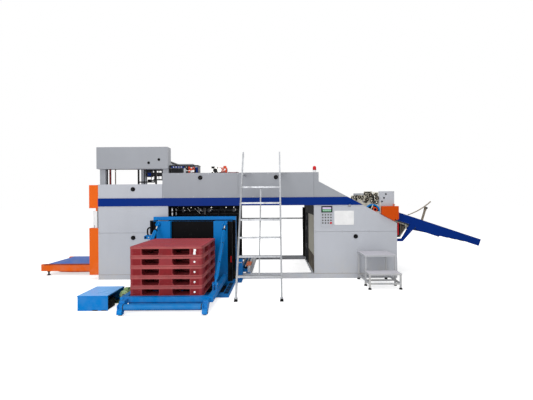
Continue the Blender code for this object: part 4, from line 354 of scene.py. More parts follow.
def belt_cloth():
    """Woven belt surface: fine threads both ways, with cloudy changes of tone and gloss."""
    tree, given, result = new_tree(
        "Belt cloth", "ShaderNodeTree",
        [
            ("Color", "Color", WHITE), ("Thread Color", "Color", WHITE),
            ("Threads", "Float", 260.0), ("Gloss", "Float", 0.6),
        ],
        SURFACE_OUTPUTS,
    )
    place = add(tree, "ShaderNodeTexCoord").outputs["Object"]
    feeds = {"Vector": place, "Scale": given["Threads"], "Distortion": 0.4}
    warp = add(tree, "ShaderNodeTexWave", feeds, bands_direction="X").outputs["Fac"]
    weft = add(tree, "ShaderNodeTexWave", feeds, bands_direction="Y").outputs["Fac"]
    weave = maths(tree, "MULTIPLY", warp, weft)
    clouds = noise(tree, stretched(tree, place, (1.5, 9.0, 3.0)), 1.0, 5.0)
    base = mixed(tree, ranged(tree, weave, 0.2, 0.9, 0.0, 0.55), given["Color"], given["Thread Color"])
    base = mixed(tree, 1.0, base, ranged(tree, clouds, 0.3, 0.7, 0.8, 1.2), "MULTIPLY")
    tree.links.new(base, result["Color"])
    rough = maths(tree, "ADD", given["Gloss"], ranged(tree, clouds, 0.3, 0.7, -0.12, 0.10))
    tree.links.new(rough, result["Roughness"])
    tree.links.new(weave, result["Height"])
    return tree


def finish(name, tree, values, metallic=0.0, bump=0.3, depth=0.0006, shine=0.5):
    """A material whose shader takes colour, roughness and relief from a shared group."""
    made = bpy.data.materials.new(name)
    made.use_nodes = True
    nodes = made.node_tree
    shader = nodes.nodes["Principled BSDF"]
    source = add(nodes, "ShaderNodeGroup", node_tree=tree)
    for label, value in values.items():
        is_colour = source.inputs[label].type == "RGBA"
        source.inputs[label].default_value = (*value, 1.0) if is_colour else value
    relief = add(
        nodes, "ShaderNodeBump",
        {"Strength": bump, "Distance": depth, "Height": source.outputs["Height"]},
    )
    nodes.links.new(source.outputs["Color"], shader.inputs["Base Color"])
    nodes.links.new(source.outputs["Roughness"], shader.inputs["Roughness"])
    nodes.links.new(relief.outputs["Normal"], shader.inputs["Normal"])
    shader.inputs["Metallic"].default_value = metallic
    shader.inputs["Specular IOR Level"].default_value = shine
    return made


def coat_of(name):
    return bpy.data.materials[name]


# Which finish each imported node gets
NODE_FINISHES = {
    "panel paint": (
        "base_frame", "front_tower_covers", "rear_tower_covers", "front_cabinet_covers",
        "rear_cabinet_covers", "front_side_plate", "rear_side_plate", "cabinet_end_panel",
        "control_console",
    ),
    # Darker panel paint on the upper frames and bridge covers: painted shade
    "shaded upper panel paint": (
        "front_tower_frame", "rear_tower_frame", "front_bridge_covers", "rear_bridge_covers",
    ),
    "inner wall paint": ("cabinet_left_wall",),
    "stripe paint": ("front_stripe", "rear_stripe", "front_conveyor_frame", "rear_conveyor_frame"),
    "guard paint": ("front_exit_guard", "rear_exit_guard", "exit_table"),
    "head guard paint": ("front_head_guard", "rear_head_guard"),
    "feeder paint": (
        "lift_table", "transfer_conveyor", "feeder_floor_frame", "feeder_portal", "feeder_masts",
        "cradle", "left_tie_rod", "right_tie_rod", "power_pack_cover",
    ),
    "oiled steel": (
        "left_lift_gear", "right_lift_gear", "lift_drive", "valve_box", "return_rollers",
    ),
    "gear plate": ("head_gear",),
    "worn steel": ("guide_arm", "guide_post"),
    "ground steel": ("press_rollers", "bridge_drive"),
    "belt cloth": ("bridge_belts", "slope_belts", "conveyor_belts"),
    "black paint": ("bay_screen", "touch_screen"),
    "pallet plastic": ("pallet_1", "pallet_2", "pallet_3", "pallet_4", "pallet_5"),
    "drawn aluminium": ("ladder", "rear_stay"),
    "stool paint": ("step_stool",),
    "tyre rubber": ("wheel_left", "wheel_right"),
    "pump paint": ("pump_motor",),
    "ivory plastic": ("beacon_base",),
    "lens plastic": ("beacon_lens",),
}


def make_finishes():
    """Every finish, from the four shared groups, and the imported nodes' finishes."""
    c = colours()
    film, grain, skin, cloth = paint_film(), metal_grain(), moulded_skin(), belt_cloth()
    for name, tone, dust, rubbed, gloss in (
        ("panel paint", c.panel_grey, 0.35, 0.25, 0.42),
        ("shaded upper panel paint", c.shaded_upper_grey, 0.30, 0.25, 0.42),
        ("inner wall paint", c.warm_grey, 0.5, 0.5, 0.50),
        ("skirt paint", c.skirt_brown, 0.5, 0.7, 0.60),
        ("stripe paint", c.stripe_blue, 0.04, 0.12, 0.46),
        ("guard paint", c.guard_orange, 0.2, 0.3, 0.42),
        ("head guard paint", c.head_orange, 0.10, 0.4, 0.42),
        ("feeder paint", c.feeder_blue, 0.08, 0.4, 0.38),
        ("deck paint", c.deck_blue, 0.5, 0.9, 0.45),
        ("black paint", c.black_paint, 0.10, 0.2, 0.55),
        ("pump paint", c.pump_green, 0.4, 0.5, 0.45),
        ("motor paint", c.motor_red, 0.2, 0.4, 0.45),
        ("rod paint", c.rod_red, 0.2, 0.4, 0.45),
        ("stool paint", c.aluminium, 0.5, 0.4, 0.40),
        ("lit tread paint", c.lit_tread_grey, 0.2, 0.4, 0.40),
        ("roller paint", c.roller_blue, 0.05, 0.2, 0.22),
        ("painted shade navy", c.navy, 0.05, 0.2, 0.40),
        ("lid painted reflection", c.lid_reflection_blue, 0.10, 0.3, 0.30),
        ("tray paint", c.tray_orange, 0.20, 0.4, 0.50),
    ):
        values = {
            "Color": tone, "Dust Color": c.dust, "Dust": dust, "Rubbed": rubbed, "Gloss": gloss,
            "Rubbed Color": [min(1.0, 0.75 * value + 0.10) for value in tone],
        }
        finish(name, film, values, bump=0.25, depth=0.0008, shine=0.07)
    for name, tone, tarnish, lines, gloss, metallic in (
        ("ground steel", c.steel, 0.25, (380.0, 24.0, 380.0), 0.30, 1.0),
        ("worn steel", c.worn_steel, 0.55, (120.0, 40.0, 260.0), 0.42, 0.60),
        ("gear plate", c.cream, 0.75, (60.0, 40.0, 120.0), 0.48, 0.20),
        ("oiled steel", c.oiled_steel, 0.45, (90.0, 60.0, 90.0), 0.42, 0.70),
        ("drawn aluminium", c.aluminium, 0.45, (26.0, 320.0, 26.0), 0.40, 0.80),
        ("chrome rod", c.steel, 0.05, (500.0, 30.0, 500.0), 0.14, 1.0),
    ):
        values = {
            "Color": tone, "Tarnish Color": [0.35 * value for value in tone], "Tarnish": tarnish,
            "Grain": lines, "Gloss": gloss,
        }
        finish(name, grain, values, metallic=metallic, bump=0.2, depth=0.0003)
    for name, tone, scuffs, mottle, gloss in (
        ("pallet plastic", c.pallet_red, 0.55, 0.22, 0.52),
        ("shaded pallet field", c.pallet_field_shade, 0.45, 0.22, 0.55),
        ("pallet lip wear and highlight", c.pallet_lip_wear_and_highlight, 0.35, 0.25, 0.55),
        ("pallet painted shade", c.pallet_joint_painted_shade, 0.10, 0.10, 0.70),
        ("tyre rubber", c.rubber, 0.5, 0.2, 0.72),
        ("ivory plastic", c.ivory, 0.12, 0.05, 0.40),
        ("black plastic", c.black_paint, 0.15, 0.12, 0.38),
        ("lens plastic", c.signal_red, 0.05, 0.10, 0.18),
        ("button red", c.signal_red, 0.10, 0.05, 0.35),
        ("screen green", (0.16, 0.46, 0.22), 0.0, 0.05, 0.30),
        ("screen lilac", (0.62, 0.52, 0.72), 0.0, 0.05, 0.30),
        ("marker orange", c.guard_orange, 0.2, 0.1, 0.45),
        ("plug white", c.ivory, 0.3, 0.15, 0.5),
        ("cream plastic", c.cream, 0.12, 0.05, 0.45),
        ("lit pallet deck", c.lit_deck_red, 0.25, 0.20, 0.55),
    ):
        values = {
            "Color": tone, "Scuff Color": [min(1.0, 0.6 * value + 0.22) for value in tone],
            "Scuffs": scuffs, "Mottle": mottle, "Gloss": gloss,
        }
        finish(name, skin, values, bump=0.3, depth=0.0008, shine=0.12)
    values = {
        "Color": c.belt_green, "Thread Color": [1.6 * value for value in c.belt_green],
        "Threads": 150.0, "Gloss": 0.62,
    }
    finish("belt cloth", cloth, values, bump=0.4, depth=0.0008, shine=0.2)
    for name, nodes in NODE_FINISHES.items():
        for node in nodes:
            for material_slot in frame["nodes"][node].material_slots:
                material_slot.material = coat_of(name)


# Geometry Nodes trees for what repeats

def growth_tree(name, inputs):
    """A Geometry Nodes tree with geometry first and the finish last among its inputs."""
    rows = [("Geometry", "Geometry", None), *inputs, ("Finish", "Material", None)]
    return new_tree(name, "GeometryNodeTree", rows, [("Geometry", "Geometry")])


def cylinder(tree, sides, radius, depth):
    feeds = {"Vertices": sides, "Radius": radius, "Depth": depth}
    return add(tree, "GeometryNodeMeshCylinder", feeds).outputs["Mesh"]


def cube(tree, size):
    return add(tree, "GeometryNodeMeshCube", {"Size": size}).outputs["Mesh"]


def step_line(tree, given):
    """Points at equal steps from the start."""
    feeds = {"Count": given["Count"], "Start Location": given["Start"], "Offset": given["Step"]}
    return add(tree, "GeometryNodeMeshLine", feeds, mode="OFFSET").outputs["Mesh"]


def aligned(tree, way, axis="Z", pivot="AUTO"):
    """The rotation that points an axis along a vector."""
    return add(
        tree, "FunctionNodeAlignRotationToVector", {"Vector": way}, axis=axis, pivot_axis=pivot
    ).outputs[0]


def shifted(tree, geometry, **feeds):
    return add(tree, "GeometryNodeTransform", {"Geometry": geometry, **feeds}).outputs[0]


def spread(tree, points, instance, turn):
    feeds = {"Points": points, "Instance": instance, "Rotation": turn}
    return add(tree, "GeometryNodeInstanceOnPoints", feeds).outputs[0]


def close_tree(tree, given, result, instances):
    """Realize Instances and Set Material, into the tree's output."""
    solid = add(tree, "GeometryNodeRealizeInstances", {"Geometry": instances}).outputs[0]
    feeds = {"Geometry": solid, "Material": given["Finish"]}
    made = add(tree, "GeometryNodeSetMaterial", feeds).outputs[0]
    tree.links.new(made, result["Geometry"])
    return tree


def bolt_heads():
    """A bolt head on its washer at each point, facing along the point's own direction."""
    tree, given, result = growth_tree(
        "Bolt heads",
        [
            ("Radius", "Float", 0.01), ("Height", "Float", 0.007), ("Sides", "Int", 6),
            ("Washer", "Float", 1.35),
        ],
    )
    radius, height = given["Radius"], given["Height"]
    head = cylinder(tree, given["Sides"], radius, height)
    washer_height = maths(tree, "MULTIPLY", height, 0.3)
    washer = cylinder(tree, 14, maths(tree, "MULTIPLY", radius, given["Washer"]), washer_height)
    rise = add(tree, "ShaderNodeCombineXYZ", {"Z": maths(tree, "MULTIPLY", height, 0.55)}).outputs[0]
    both = add(tree, "GeometryNodeJoinGeometry")
    for part in (shifted(tree, head, Translation=rise), washer):
        tree.links.new(part, both.inputs[0])
    facing = add(tree, "GeometryNodeInputNamedAttribute", {"Name": "facing"}, data_type="FLOAT_VECTOR")
    turn = aligned(tree, facing.outputs["Attribute"])
    return close_tree(tree, given, result, spread(tree, given["Geometry"], both.outputs[0], turn))


def bar_row():
    """Equal bars at equal steps."""
    tree, given, result = growth_tree(
        "Row of bars",
        [
            ("Start", "Vector", (0, 0, 0)), ("Step", "Vector", (0.01, 0, 0)), ("Count", "Int", 4),
            ("Size", "Vector", (0.01, 0.01, 0.01)), ("Turn", "Rotation", None),
        ],
    )
    row = spread(tree, step_line(tree, given), cube(tree, given["Size"]), given["Turn"])
    return close_tree(tree, given, result, row)


def disc_row():
    """Equal discs on one axis at equal steps, as fins, collars or sleeves."""
    tree, given, result = growth_tree(
        "Row of discs",
        [
            ("Start", "Vector", (0, 0, 0)), ("Step", "Vector", (0.01, 0, 0)), ("Count", "Int", 4),
            ("Radius", "Float", 0.05), ("Thickness", "Float", 0.004), ("Sides", "Int", 24),
        ],
    )
    disc_mesh = cylinder(tree, given["Sides"], given["Radius"], given["Thickness"])
    row = spread(tree, step_line(tree, given), disc_mesh, aligned(tree, given["Step"]))
    return close_tree(tree, given, result, row)


def bar_ring():
    """Equal bars round an axis, as teeth, knurls or vanes."""
    tree, given, result = growth_tree(
        "Ring of bars",
        [
            ("Centre", "Vector", (0, 0, 0)), ("Axis", "Vector", (0, 0, 1)),
            ("Radius", "Float", 0.05), ("Count", "Int", 12), ("Size", "Vector", (0.01, 0.01, 0.01)),
        ],
    )
    feeds = {"Vertices": given["Count"], "Radius": given["Radius"]}
    circle = add(tree, "GeometryNodeMeshCircle", feeds).outputs["Mesh"]
    outwards = aligned(tree, add(tree, "GeometryNodeInputPosition").outputs[0], "X", "Z")
    row = spread(tree, circle, cube(tree, given["Size"]), outwards)
    tilt = aligned(tree, given["Axis"])
    row = shifted(tree, row, Translation=given["Centre"], Rotation=tilt)
    return close_tree(tree, given, result, row)


def chain_links():
    """Chain plates and pins along an edge path, each turned to run along it."""
    tree, given, result = growth_tree(
        "Chain links",
        [
            ("Pitch", "Float", 0.0381), ("Plate Width", "Float", 0.019),
            ("Chain Width", "Float", 0.0285),
        ],
    )
    curve = add(tree, "GeometryNodeMeshToCurve", {"Mesh": given["Geometry"]}).outputs[0]
    feeds = {"Curve": curve, "Length": given["Pitch"]}
    points = add(tree, "GeometryNodeResampleCurve", feeds, mode="LENGTH").outputs[0]
    feeds = {"X": maths(tree, "MULTIPLY", given["Pitch"], 0.86), "Y": 0.002, "Z": given["Plate Width"]}
    plate = cube(tree, add(tree, "ShaderNodeCombineXYZ", feeds).outputs[0])
    link = add(tree, "GeometryNodeJoinGeometry")
    for side in (-0.5, 0.5):
        feeds = {"Y": maths(tree, "MULTIPLY", given["Chain Width"], side)}
        shift = add(tree, "ShaderNodeCombineXYZ", feeds).outputs[0]
        tree.links.new(shifted(tree, plate, Translation=shift), link.inputs[0])
    pin_radius = maths(tree, "MULTIPLY", given["Plate Width"], 0.3)
    pin = cylinder(tree, 8, pin_radius, maths(tree, "MULTIPLY", given["Chain Width"], 1.2))
    tree.links.new(shifted(tree, pin, Rotation=(math.pi / 2, 0.0, 0.0)), link.inputs[0])
    turn = aligned(tree, add(tree, "GeometryNodeInputTangent").outputs[0], "X", "Y")
    return close_tree(tree, given, result, spread(tree, points, link.outputs[0], turn))


TREE_MAKERS = {
    "Bolt heads": bolt_heads, "Row of bars": bar_row, "Row of discs": disc_row,
    "Ring of bars": bar_ring, "Chain links": chain_links,
}


def grow(shape, name, slot, values, points=(), facing=(), path=()):
    """Adds what a Geometry Nodes tree makes to a shape; its faces get the finish in that slot."""
    tree = bpy.data.node_groups.get(name) or TREE_MAKERS[name]()
    seeds = bpy.data.meshes.new("seeds")
    edges = [(i, i + 1) for i in range(len(path) - 1)]
    seeds.from_pydata([tuple(p) for p in (path or points)], edges, [])
    if facing:
        attribute = seeds.attributes.new("facing", "FLOAT_VECTOR", "POINT")
        attribute.data.foreach_set("vector", [value for way in facing for value in way])
    holder = bpy.data.objects.new("seeds", seeds)
    bpy.context.scene.collection.objects.link(holder)
    modifier = holder.modifiers.new("grow", "NODES")
    modifier.node_group = tree
    sockets = {
        item.name: item.identifier for item in tree.interface.items_tree
        if item.item_type == "SOCKET" and item.in_out == "INPUT"
    }
    for label, value in values.items():
        modifier[sockets[label]] = value
    modifier[sockets["Finish"]] = coat_of("black paint")
    graph = bpy.context.evaluated_depsgraph_get()
    made = bpy.data.meshes.new_from_object(holder.evaluated_get(graph))
    holder.modifiers.remove(modifier)
    bpy.data.objects.remove(holder)
    bpy.data.meshes.remove(seeds)
    first = len(shape.faces)
    shape.from_mesh(made)
    bpy.data.meshes.remove(made)
    shape.faces.ensure_lookup_table()
    for index in range(first, len(shape.faces)):
        shape.faces[index].material_index = slot


def bolts(shape, slot, places, direction, radius, height=None, sides=6):
    """Bolt heads with washers at places on a face."""
    values = {"Radius": radius, "Height": height or radius * 0.7, "Sides": sides}
    grow(shape, "Bolt heads", slot, values, places, [direction] * len(places))


def bars(shape, slot, start, step, count, size, turn=(0.0, 0.0, 0.0)):
    values = {"Start": start, "Step": step, "Count": count, "Size": size, "Turn": turn}
    grow(shape, "Row of bars", slot, values)


def discs(shape, slot, start, step, count, radius, thickness, sides=24):
    values = {
        "Start": start, "Step": step, "Count": count, "Radius": radius, "Thickness": thickness,
        "Sides": sides,
    }
    grow(shape, "Row of discs", slot, values)


def ring(shape, slot, centre, axis, radius, count, size):
    values = {"Centre": centre, "Axis": axis, "Radius": radius, "Count": count, "Size": size}
    grow(shape, "Ring of bars", slot, values)


# Shapes made directly

def skin(shape, rings, slot=0, closed=False):
    """Skin over rings of points, one after another, with its ends capped or joined."""
    rows = [[shape.verts.new(point) for point in row] for row in rings]
    pairs = list(zip(rows, rows[1:]))
    if closed:
        pairs.append((rows[-1], rows[0]))
    count = len(rows[0])
    faces = []
    for near, far in pairs:
        for i in range(count):
            j = (i + 1) % count
            faces.append(shape.faces.new((near[i], near[j], far[j], far[i])))
    if not closed:
        faces += [shape.faces.new(rows[0]), shape.faces.new(rows[-1])]
    for face in faces:
        face.material_index = slot


def disc(shape, slot, centre, axis, radius, thickness, sides=24):
    """One disc across an axis."""
    discs(shape, slot, centre, [0.001 * value for value in axis], 1, radius, thickness, sides)


def block(shape, low, high, slot=0):
    corners = [(low[0], low[1]), (high[0], low[1]), (high[0], high[1]), (low[0], high[1])]
    skin(shape, [[(*corner, z) for corner in corners] for z in (low[2], high[2])], slot)


def prism(shape, outline, y_low, y_high, slot=0):
    """An (x, z) outline extruded along Y."""
    skin(shape, [[(x, y, z) for x, z in outline] for y in (y_low, y_high)], slot)


def turned(shape, start, direction, profile, sides=24, slot=0):
    """A turned piece: profile is (distance along, radius) from one end to the other."""
    start, direction = Vector(start), Vector(direction).normalized()
    across = direction.orthogonal().normalized()
    other = direction.cross(across)
    angles = [2 * math.pi * i / sides for i in range(sides)]
    rings = [
        [
            start + direction * along + (across * math.cos(a) + other * math.sin(a)) * radius
            for a in angles
        ]
        for along, radius in profile
    ]
    skin(shape, rings, slot)


def rod(shape, start, end, radius, sides=12, slot=0):
    start, end = Vector(start), Vector(end)
    turned(shape, start, end - start, [(0.0, radius), ((end - start).length, radius)], sides, slot)


def pipe(shape, points, radius, sides=10, slot=0, steps=5):
    """A bent pipe along a path, its corners rounded by a quadratic curve."""
    points = [Vector(point) for point in points]
    path = [points[0]]
    for before, corner, after in zip(points, points[1:], points[2:]):
        near, far = corner.lerp(before, 0.35), corner.lerp(after, 0.35)
        for i in range(steps + 1):
            t = i / steps
            path.append(near.lerp(corner, t).lerp(corner.lerp(far, t), t))
    path.append(points[-1])
    way = (path[1] - path[0]).normalized()
    across = way.orthogonal().normalized()
    rings = []
    for i, point in enumerate(path):
        ahead = (path[min(i + 1, len(path) - 1)] - path[max(i - 1, 0)]).normalized()
        across = (across - ahead * across.dot(ahead)).normalized()
        other = ahead.cross(across)
        angles = [2 * math.pi * k / sides for k in range(sides)]
        rings.append([point + (across * math.cos(a) + other * math.sin(a)) * radius for a in angles])
    skin(shape, rings, slot)


def hull(points):
    """Outer points of a flat cloud, in counter-clockwise order."""
    points = sorted(set(points))
    chains = []
    for run in (points, points[::-1]):
        chain = []
        for point in run:
            while len(chain) > 1:
                (ax, ay), (bx, by) = chain[-2], chain[-1]
                if (bx - ax) * (point[1] - ay) - (by - ay) * (point[0] - ax) > 0:
                    break
                chain.pop()
            chain.append(point)
        chains += chain[:-1]
    return chains


def on_face(shape, face, side, x, z, proud, slot=0, sunk=0.001):
    """A plate on a face across Y, by its x and z spans and how far it stands proud."""
    near, far = sorted((face - side * sunk, face + side * proud))
    block(shape, (x[0], near, z[0]), (x[1], far, z[1]), slot)


def circle_points(radius, sides, centre=(0.0, 0.0)):
    angles = [2 * math.pi * i / sides for i in range(sides)]
    return [(centre[0] + radius * math.cos(a), centre[1] + radius * math.sin(a)) for a in angles]


def belt_round(shape, wheels, thick, y_low, y_high, slot=0):
    """A belt drawn tight round wheels, each given as x, z and radius."""
    inner_cloud, outer_cloud = (
        [point for x, z, r in wheels for point in circle_points(r + extra, 24, (x, z))]
        for extra in (0.0, thick)
    )
    outer = hull(outer_cloud)
    inner = [inner_cloud[outer_cloud.index(point)] for point in outer]
    rings = [
        [(x, y, z) for x, z in line]
        for line, y in ((outer, y_low), (outer, y_high), (inner, y_high), (inner, y_low))
    ]
    skin(shape, rings, slot, closed=True)


def finned_motor(shape, start, direction, radius, reach, slots):
    """A motor body with cooling fins, a fan cowl and a dark end disc: body slot and dark slot."""
    start, direction = Vector(start), Vector(direction).normalized()
    body, dark = slots
    profile = [
        (0.0, radius * 0.72), (reach * 0.05, radius * 0.95), (reach * 0.74, radius * 0.95),
        (reach * 0.75, radius * 1.02), (reach * 0.96, radius * 1.02), (reach, radius * 0.86),
    ]
    turned(shape, start, direction, profile, 24, body)
    pitch = sizes().fin_pitch
    count = max(2, int(reach * 0.62 / pitch))
    discs(
        shape, body, start + direction * reach * 0.09, direction * pitch, count, radius * 1.05, 0.004
    )
    discs(shape, dark, start + direction * (reach + 0.001), direction * 0.001, 1, radius * 0.6, 0.003)


def piece(name, shape, finishes, body="machine", bevel=0.0, smooth=True):
    """The finished object of a piece, riding on its body."""
    bmesh.ops.recalc_face_normals(shape, faces=shape.faces)
    mesh = bpy.data.meshes.new(name)
    shape.to_mesh(mesh)
    shape.free()
    for finish_name in finishes:
        mesh.materials.append(coat_of(finish_name))
    if smooth:
        mesh.shade_smooth()
        mesh.set_sharp_from_angle(angle=math.radians(32))
    made = bpy.data.objects.new(name, mesh)
    bpy.context.scene.collection.objects.link(made)
    if bevel:
        rounding = made.modifiers.new("edges", "BEVEL")
        rounding.width = bevel
        rounding.segments = 2
        rounding.limit_method = "ANGLE"
        rounding.angle_limit = math.radians(50)
    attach(made, body)
    return made


# Machine body

def cover_places(word):
    """X and Z of the latches on one side's covers, from the covers' own boxes."""
    tower, bridge, cabinet = (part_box(f"{word}_{name}_covers") for name in ("tower", "bridge", "cabinet"))
    drop, seam = sizes().latch_drop, sizes().seam_height
    tower_middle = (tower[0].x + tower[1].x) / 2
    start, end = bridge[0].x, cabinet[0].x
    middle = (start + end) / 2
    return (
        (tower_middle, seam - drop), (tower_middle, tower[1].z - drop),
        ((start + middle) / 2, bridge[1].z - drop), ((middle + end) / 2, bridge[1].z - drop),
        ((cabinet[0].x + cabinet[1].x) / 2, seam - drop),
    )


def cover_latches():
    """Black cups with a slotted key disc on every cover latch."""
    shape = bmesh.new()
    radius = sizes().latch_radius
    cup = [
        (-0.001, radius), (0.0118, radius), (0.0192, radius * 0.87), (0.0192, radius * 0.62),
        (0.0186, radius * 0.58), (0.0186, radius * 0.30), (0.0200, radius * 0.26), (0.0200, 0.0005),
    ]
    for word, side, face in SIDES:
        for x, z in cover_places(word):
            turned(shape, (x, face, z), (0, side, 0), cup, 28, 0)
            spans = (x - 0.008, x + 0.008), (z - 0.0015, z + 0.0015)
            on_face(shape, face, side, *spans, 0.0206, 1, sunk=-0.0196)
    piece("cover_latches", shape, ["black plastic", "oiled steel"])


def row_points(start, end, pitch):
    start, end = Vector(start), Vector(end)
    count = max(1, round((end - start).length / pitch))
    return [start.lerp(end, i / count) for i in range(count + 1)]


def cover_screws():
    """Button-head screws along the feet and seams of the tower's and cabinet's covers, and on the bridge
    covers above the stripe and under their top.
    """
    shape = bmesh.new()
    radius, pitch = sizes().screw_radius, sizes().screw_pitch
    inset = 0.022
    for word, side, face in SIDES:
        places = []
        for name in ("tower", "cabinet"):
            low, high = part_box(f"{word}_{name}_covers")
            for z in (low.z + inset, sizes().seam_height - inset, sizes().seam_height + inset):
                places += row_points((low.x + inset, face, z), (high.x - inset, face, z), pitch * 2)
        low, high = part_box(f"{word}_bridge_covers")
        stripe_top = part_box(f"{word}_stripe")[1].z
        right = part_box(f"{word}_cabinet_covers")[0].x
        for z in (stripe_top + inset, high.z - inset):
            places += row_points((low.x + inset, face, z), (right - inset, face, z), pitch)
        bolts(shape, 0, places, (0, side, 0), radius, 0.003, 10)
    piece("cover_screws", shape, ["drawn aluminium"])


def edge_trims():
    """Folded lips on the covers, the liners, post and oil-stained foot of the inner walls, and a black sheet
    of painted shade on the column's side by the bay screen.
    """
    shape = bmesh.new()
    for word, side, face in SIDES:
        low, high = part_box(f"{word}_tower_covers")
        lip = (low.x + 0.004, high.x - 0.12), (high.z, high.z + 0.0025)
        on_face(shape, face, -side, *lip, 0.035, 0, sunk=0.0)
        # Shadow joint between the covers and the base
        for name in ("tower", "cabinet"):
            low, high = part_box(f"{word}_{name}_covers")
            joint = (low.x, high.x), (low.z - 0.003, low.z + 0.003)
            on_face(shape, face, side, *joint, 0.0008, 4, sunk=0.002)
    low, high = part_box("cabinet_left_wall")
    x, skirt = low.x, low.z + 0.36
    front, rear, bar = FRONT + 0.065, REAR - 0.065, high.z - 0.21
    block(shape, (x - 0.0018, front, low.z), (x + 0.001, 0.0, skirt), 1)
    block(shape, (x - 0.0020, 0.02, low.z), (x + 0.001, rear, bar), 2)
    block(shape, (x - 0.0040, front, bar), (x + 0.001, rear, high.z - 0.004), 2)
    block(shape, (x - 0.055, rear - 0.16, low.z), (x - 0.001, rear - 0.02, bar + 0.12), 2)
    for y, radius in ((0.42, 0.016), (0.22, 0.010), (0.06, 0.014)):
        rod(shape, (x - radius, y, low.z), (x - radius, y, bar), radius, 12, 3)
    for y, z in ((0.32, 0.92), (0.14, 1.18), (0.30, 0.48)):
        block(shape, (x - 0.03, y - 0.04, z - 0.05), (x + 0.001, y + 0.04, z + 0.05), 3)
    low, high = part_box("bay_screen")
    wall = low.x - 0.001
    # Black sheet on the column's side by the bay screen: painted shade
    block(shape, (wall, FRONT + 0.045, low.z), (wall + 0.003, low.y, high.z - 0.002), 2)
    piece(
        "edge_trims", shape, ["panel paint", "skirt paint", "black paint", "oiled steel", "worn steel"],
        smooth=False,
    )


def crosshead_fittings():
    """Black plugs in the front crosshead, and guide rods inside the tower's open top."""
    shape = bmesh.new()
    low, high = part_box("front_tower_frame")
    plug = [(0.0, 0.028), (0.005, 0.028), (0.008, 0.022), (0.008, 0.0005)]
    for along, drop in ((1.075, 0.328), (1.285, 0.262)):
        turned(shape, (low.x + along, low.y, high.z - drop), (0, -1, 0), plug, 20, 0)
    under, foot = high.z - 0.45, MACHINE_HIGH.z
    y = FRONT + 0.085
    for x, radius, slot in ((-2.871, 0.015, 2), (-2.758, 0.010, 3), (-2.925, 0.010, 0)):
        rod(shape, (x, y, foot), (x, y, under), radius, 14, slot)
    for z in (0.55, 1.2, 1.9, 2.2):
        disc(shape, 0, (-2.871, y, z), (0, 0, 1), 0.018, 0.014)
        disc(shape, 1, (-2.758, y, z + 0.04), (0, 0, 1), 0.0135, 0.012)
    # Stop frame behind the crosshead, with its cylinder and knob
    back, sill = high.y - 0.001, 1.93
    for x in (-2.335, -1.965):
        block(shape, (x, back, sill), (x + 0.032, back + 0.022, under + 0.10), 0)
    block(shape, (-2.335, back, 2.005), (-1.935, back + 0.016, 2.030), 0)
    for x, z in ((-2.050, 2.02), (-1.985, 2.02), (-2.145, sill)):
        rod(shape, (x, back + 0.012, z), (x, back + 0.012, under + 0.02), 0.007, 10, 0)
    cylinder_profile = [(0, 0.018), (0.004, 0.024), (0.075, 0.024), (0.080, 0.012), (0.15, 0.012)]
    turned(shape, (-2.130, back + 0.030, 2.050), (1, 0, 0), cylinder_profile, 18, 0)
    knob = [(0, 0.018), (0.006, 0.023), (0.030, 0.023)]
    turned(shape, (-2.145, back - 0.004, 2.173), (0, 1, 0), knob, 18, 0)
    piece(
        "crosshead_fittings", shape, ["black plastic", "ground steel", "rod paint", "skirt paint"],
    )


def lift_chains():
    """Chain links over the lift chains, and teeth on their sprockets."""
    shape = bmesh.new()
    for node, side in (("left_lift_gear", -1), ("right_lift_gear", 1)):
        low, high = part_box(node)
        outer = low.x if side < 0 else high.x
        chain_x = outer - side * 0.007
        axis_x = outer - side * (0.065 + 0.012)
        axis_z = high.z - 0.065
        for y in (low.y + 0.06, high.y - 0.06):
            path = [(chain_x, y, low.z + 0.01), (chain_x, y, high.z - 0.070)]
            grow(shape, "Chain links", 0, {"Pitch": sizes().chain_pitch}, path=path)
            ring(shape, 0, (axis_x, y, axis_z), (0, 1, 0), 0.064, 24, (0.010, 0.007, 0.028))
            for end in (-0.018, 0.018):
                disc(shape, 1, (axis_x, y + end, axis_z), (0, 1, 0), 0.038, 0.006)
    piece("lift_chains", shape, ["oiled steel", "ground steel"])


def tower_machinery():
    """Fins, brackets and pipe round the lift drive under the rear beam."""
    shape = bmesh.new()
    low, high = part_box("lift_drive")
    y, z = (low.y + high.y) / 2, high.z - 0.13
    finned_motor(shape, (low.x + 0.168, y, z), (1, 0, 0), 0.050, 0.255, (0, 1))
    bolts(
        shape, 1, [(low.x + x, low.y + 0.0105, high.z - 0.055) for x in (0.045, 0.145)], (0, -1, 0), 0.009
    )
    block(shape, (low.x + 0.05, low.y, z - 0.05), (low.x + 0.14, low.y + 0.014, z + 0.04), 2)
    for x in (low.x + 0.22, low.x + 0.33):
        rod(shape, (x, y + 0.02, high.z - 0.01), (x, y + 0.02, low.z + 0.03), 0.009, 10, 1)
    block(shape, (low.x + 0.19, y - 0.02, low.z + 0.01), (low.x + 0.44, y + 0.04, low.z + 0.04), 1)
    piece("tower_machinery", shape, ["oiled steel", "black plastic", "stripe paint"])


# Console

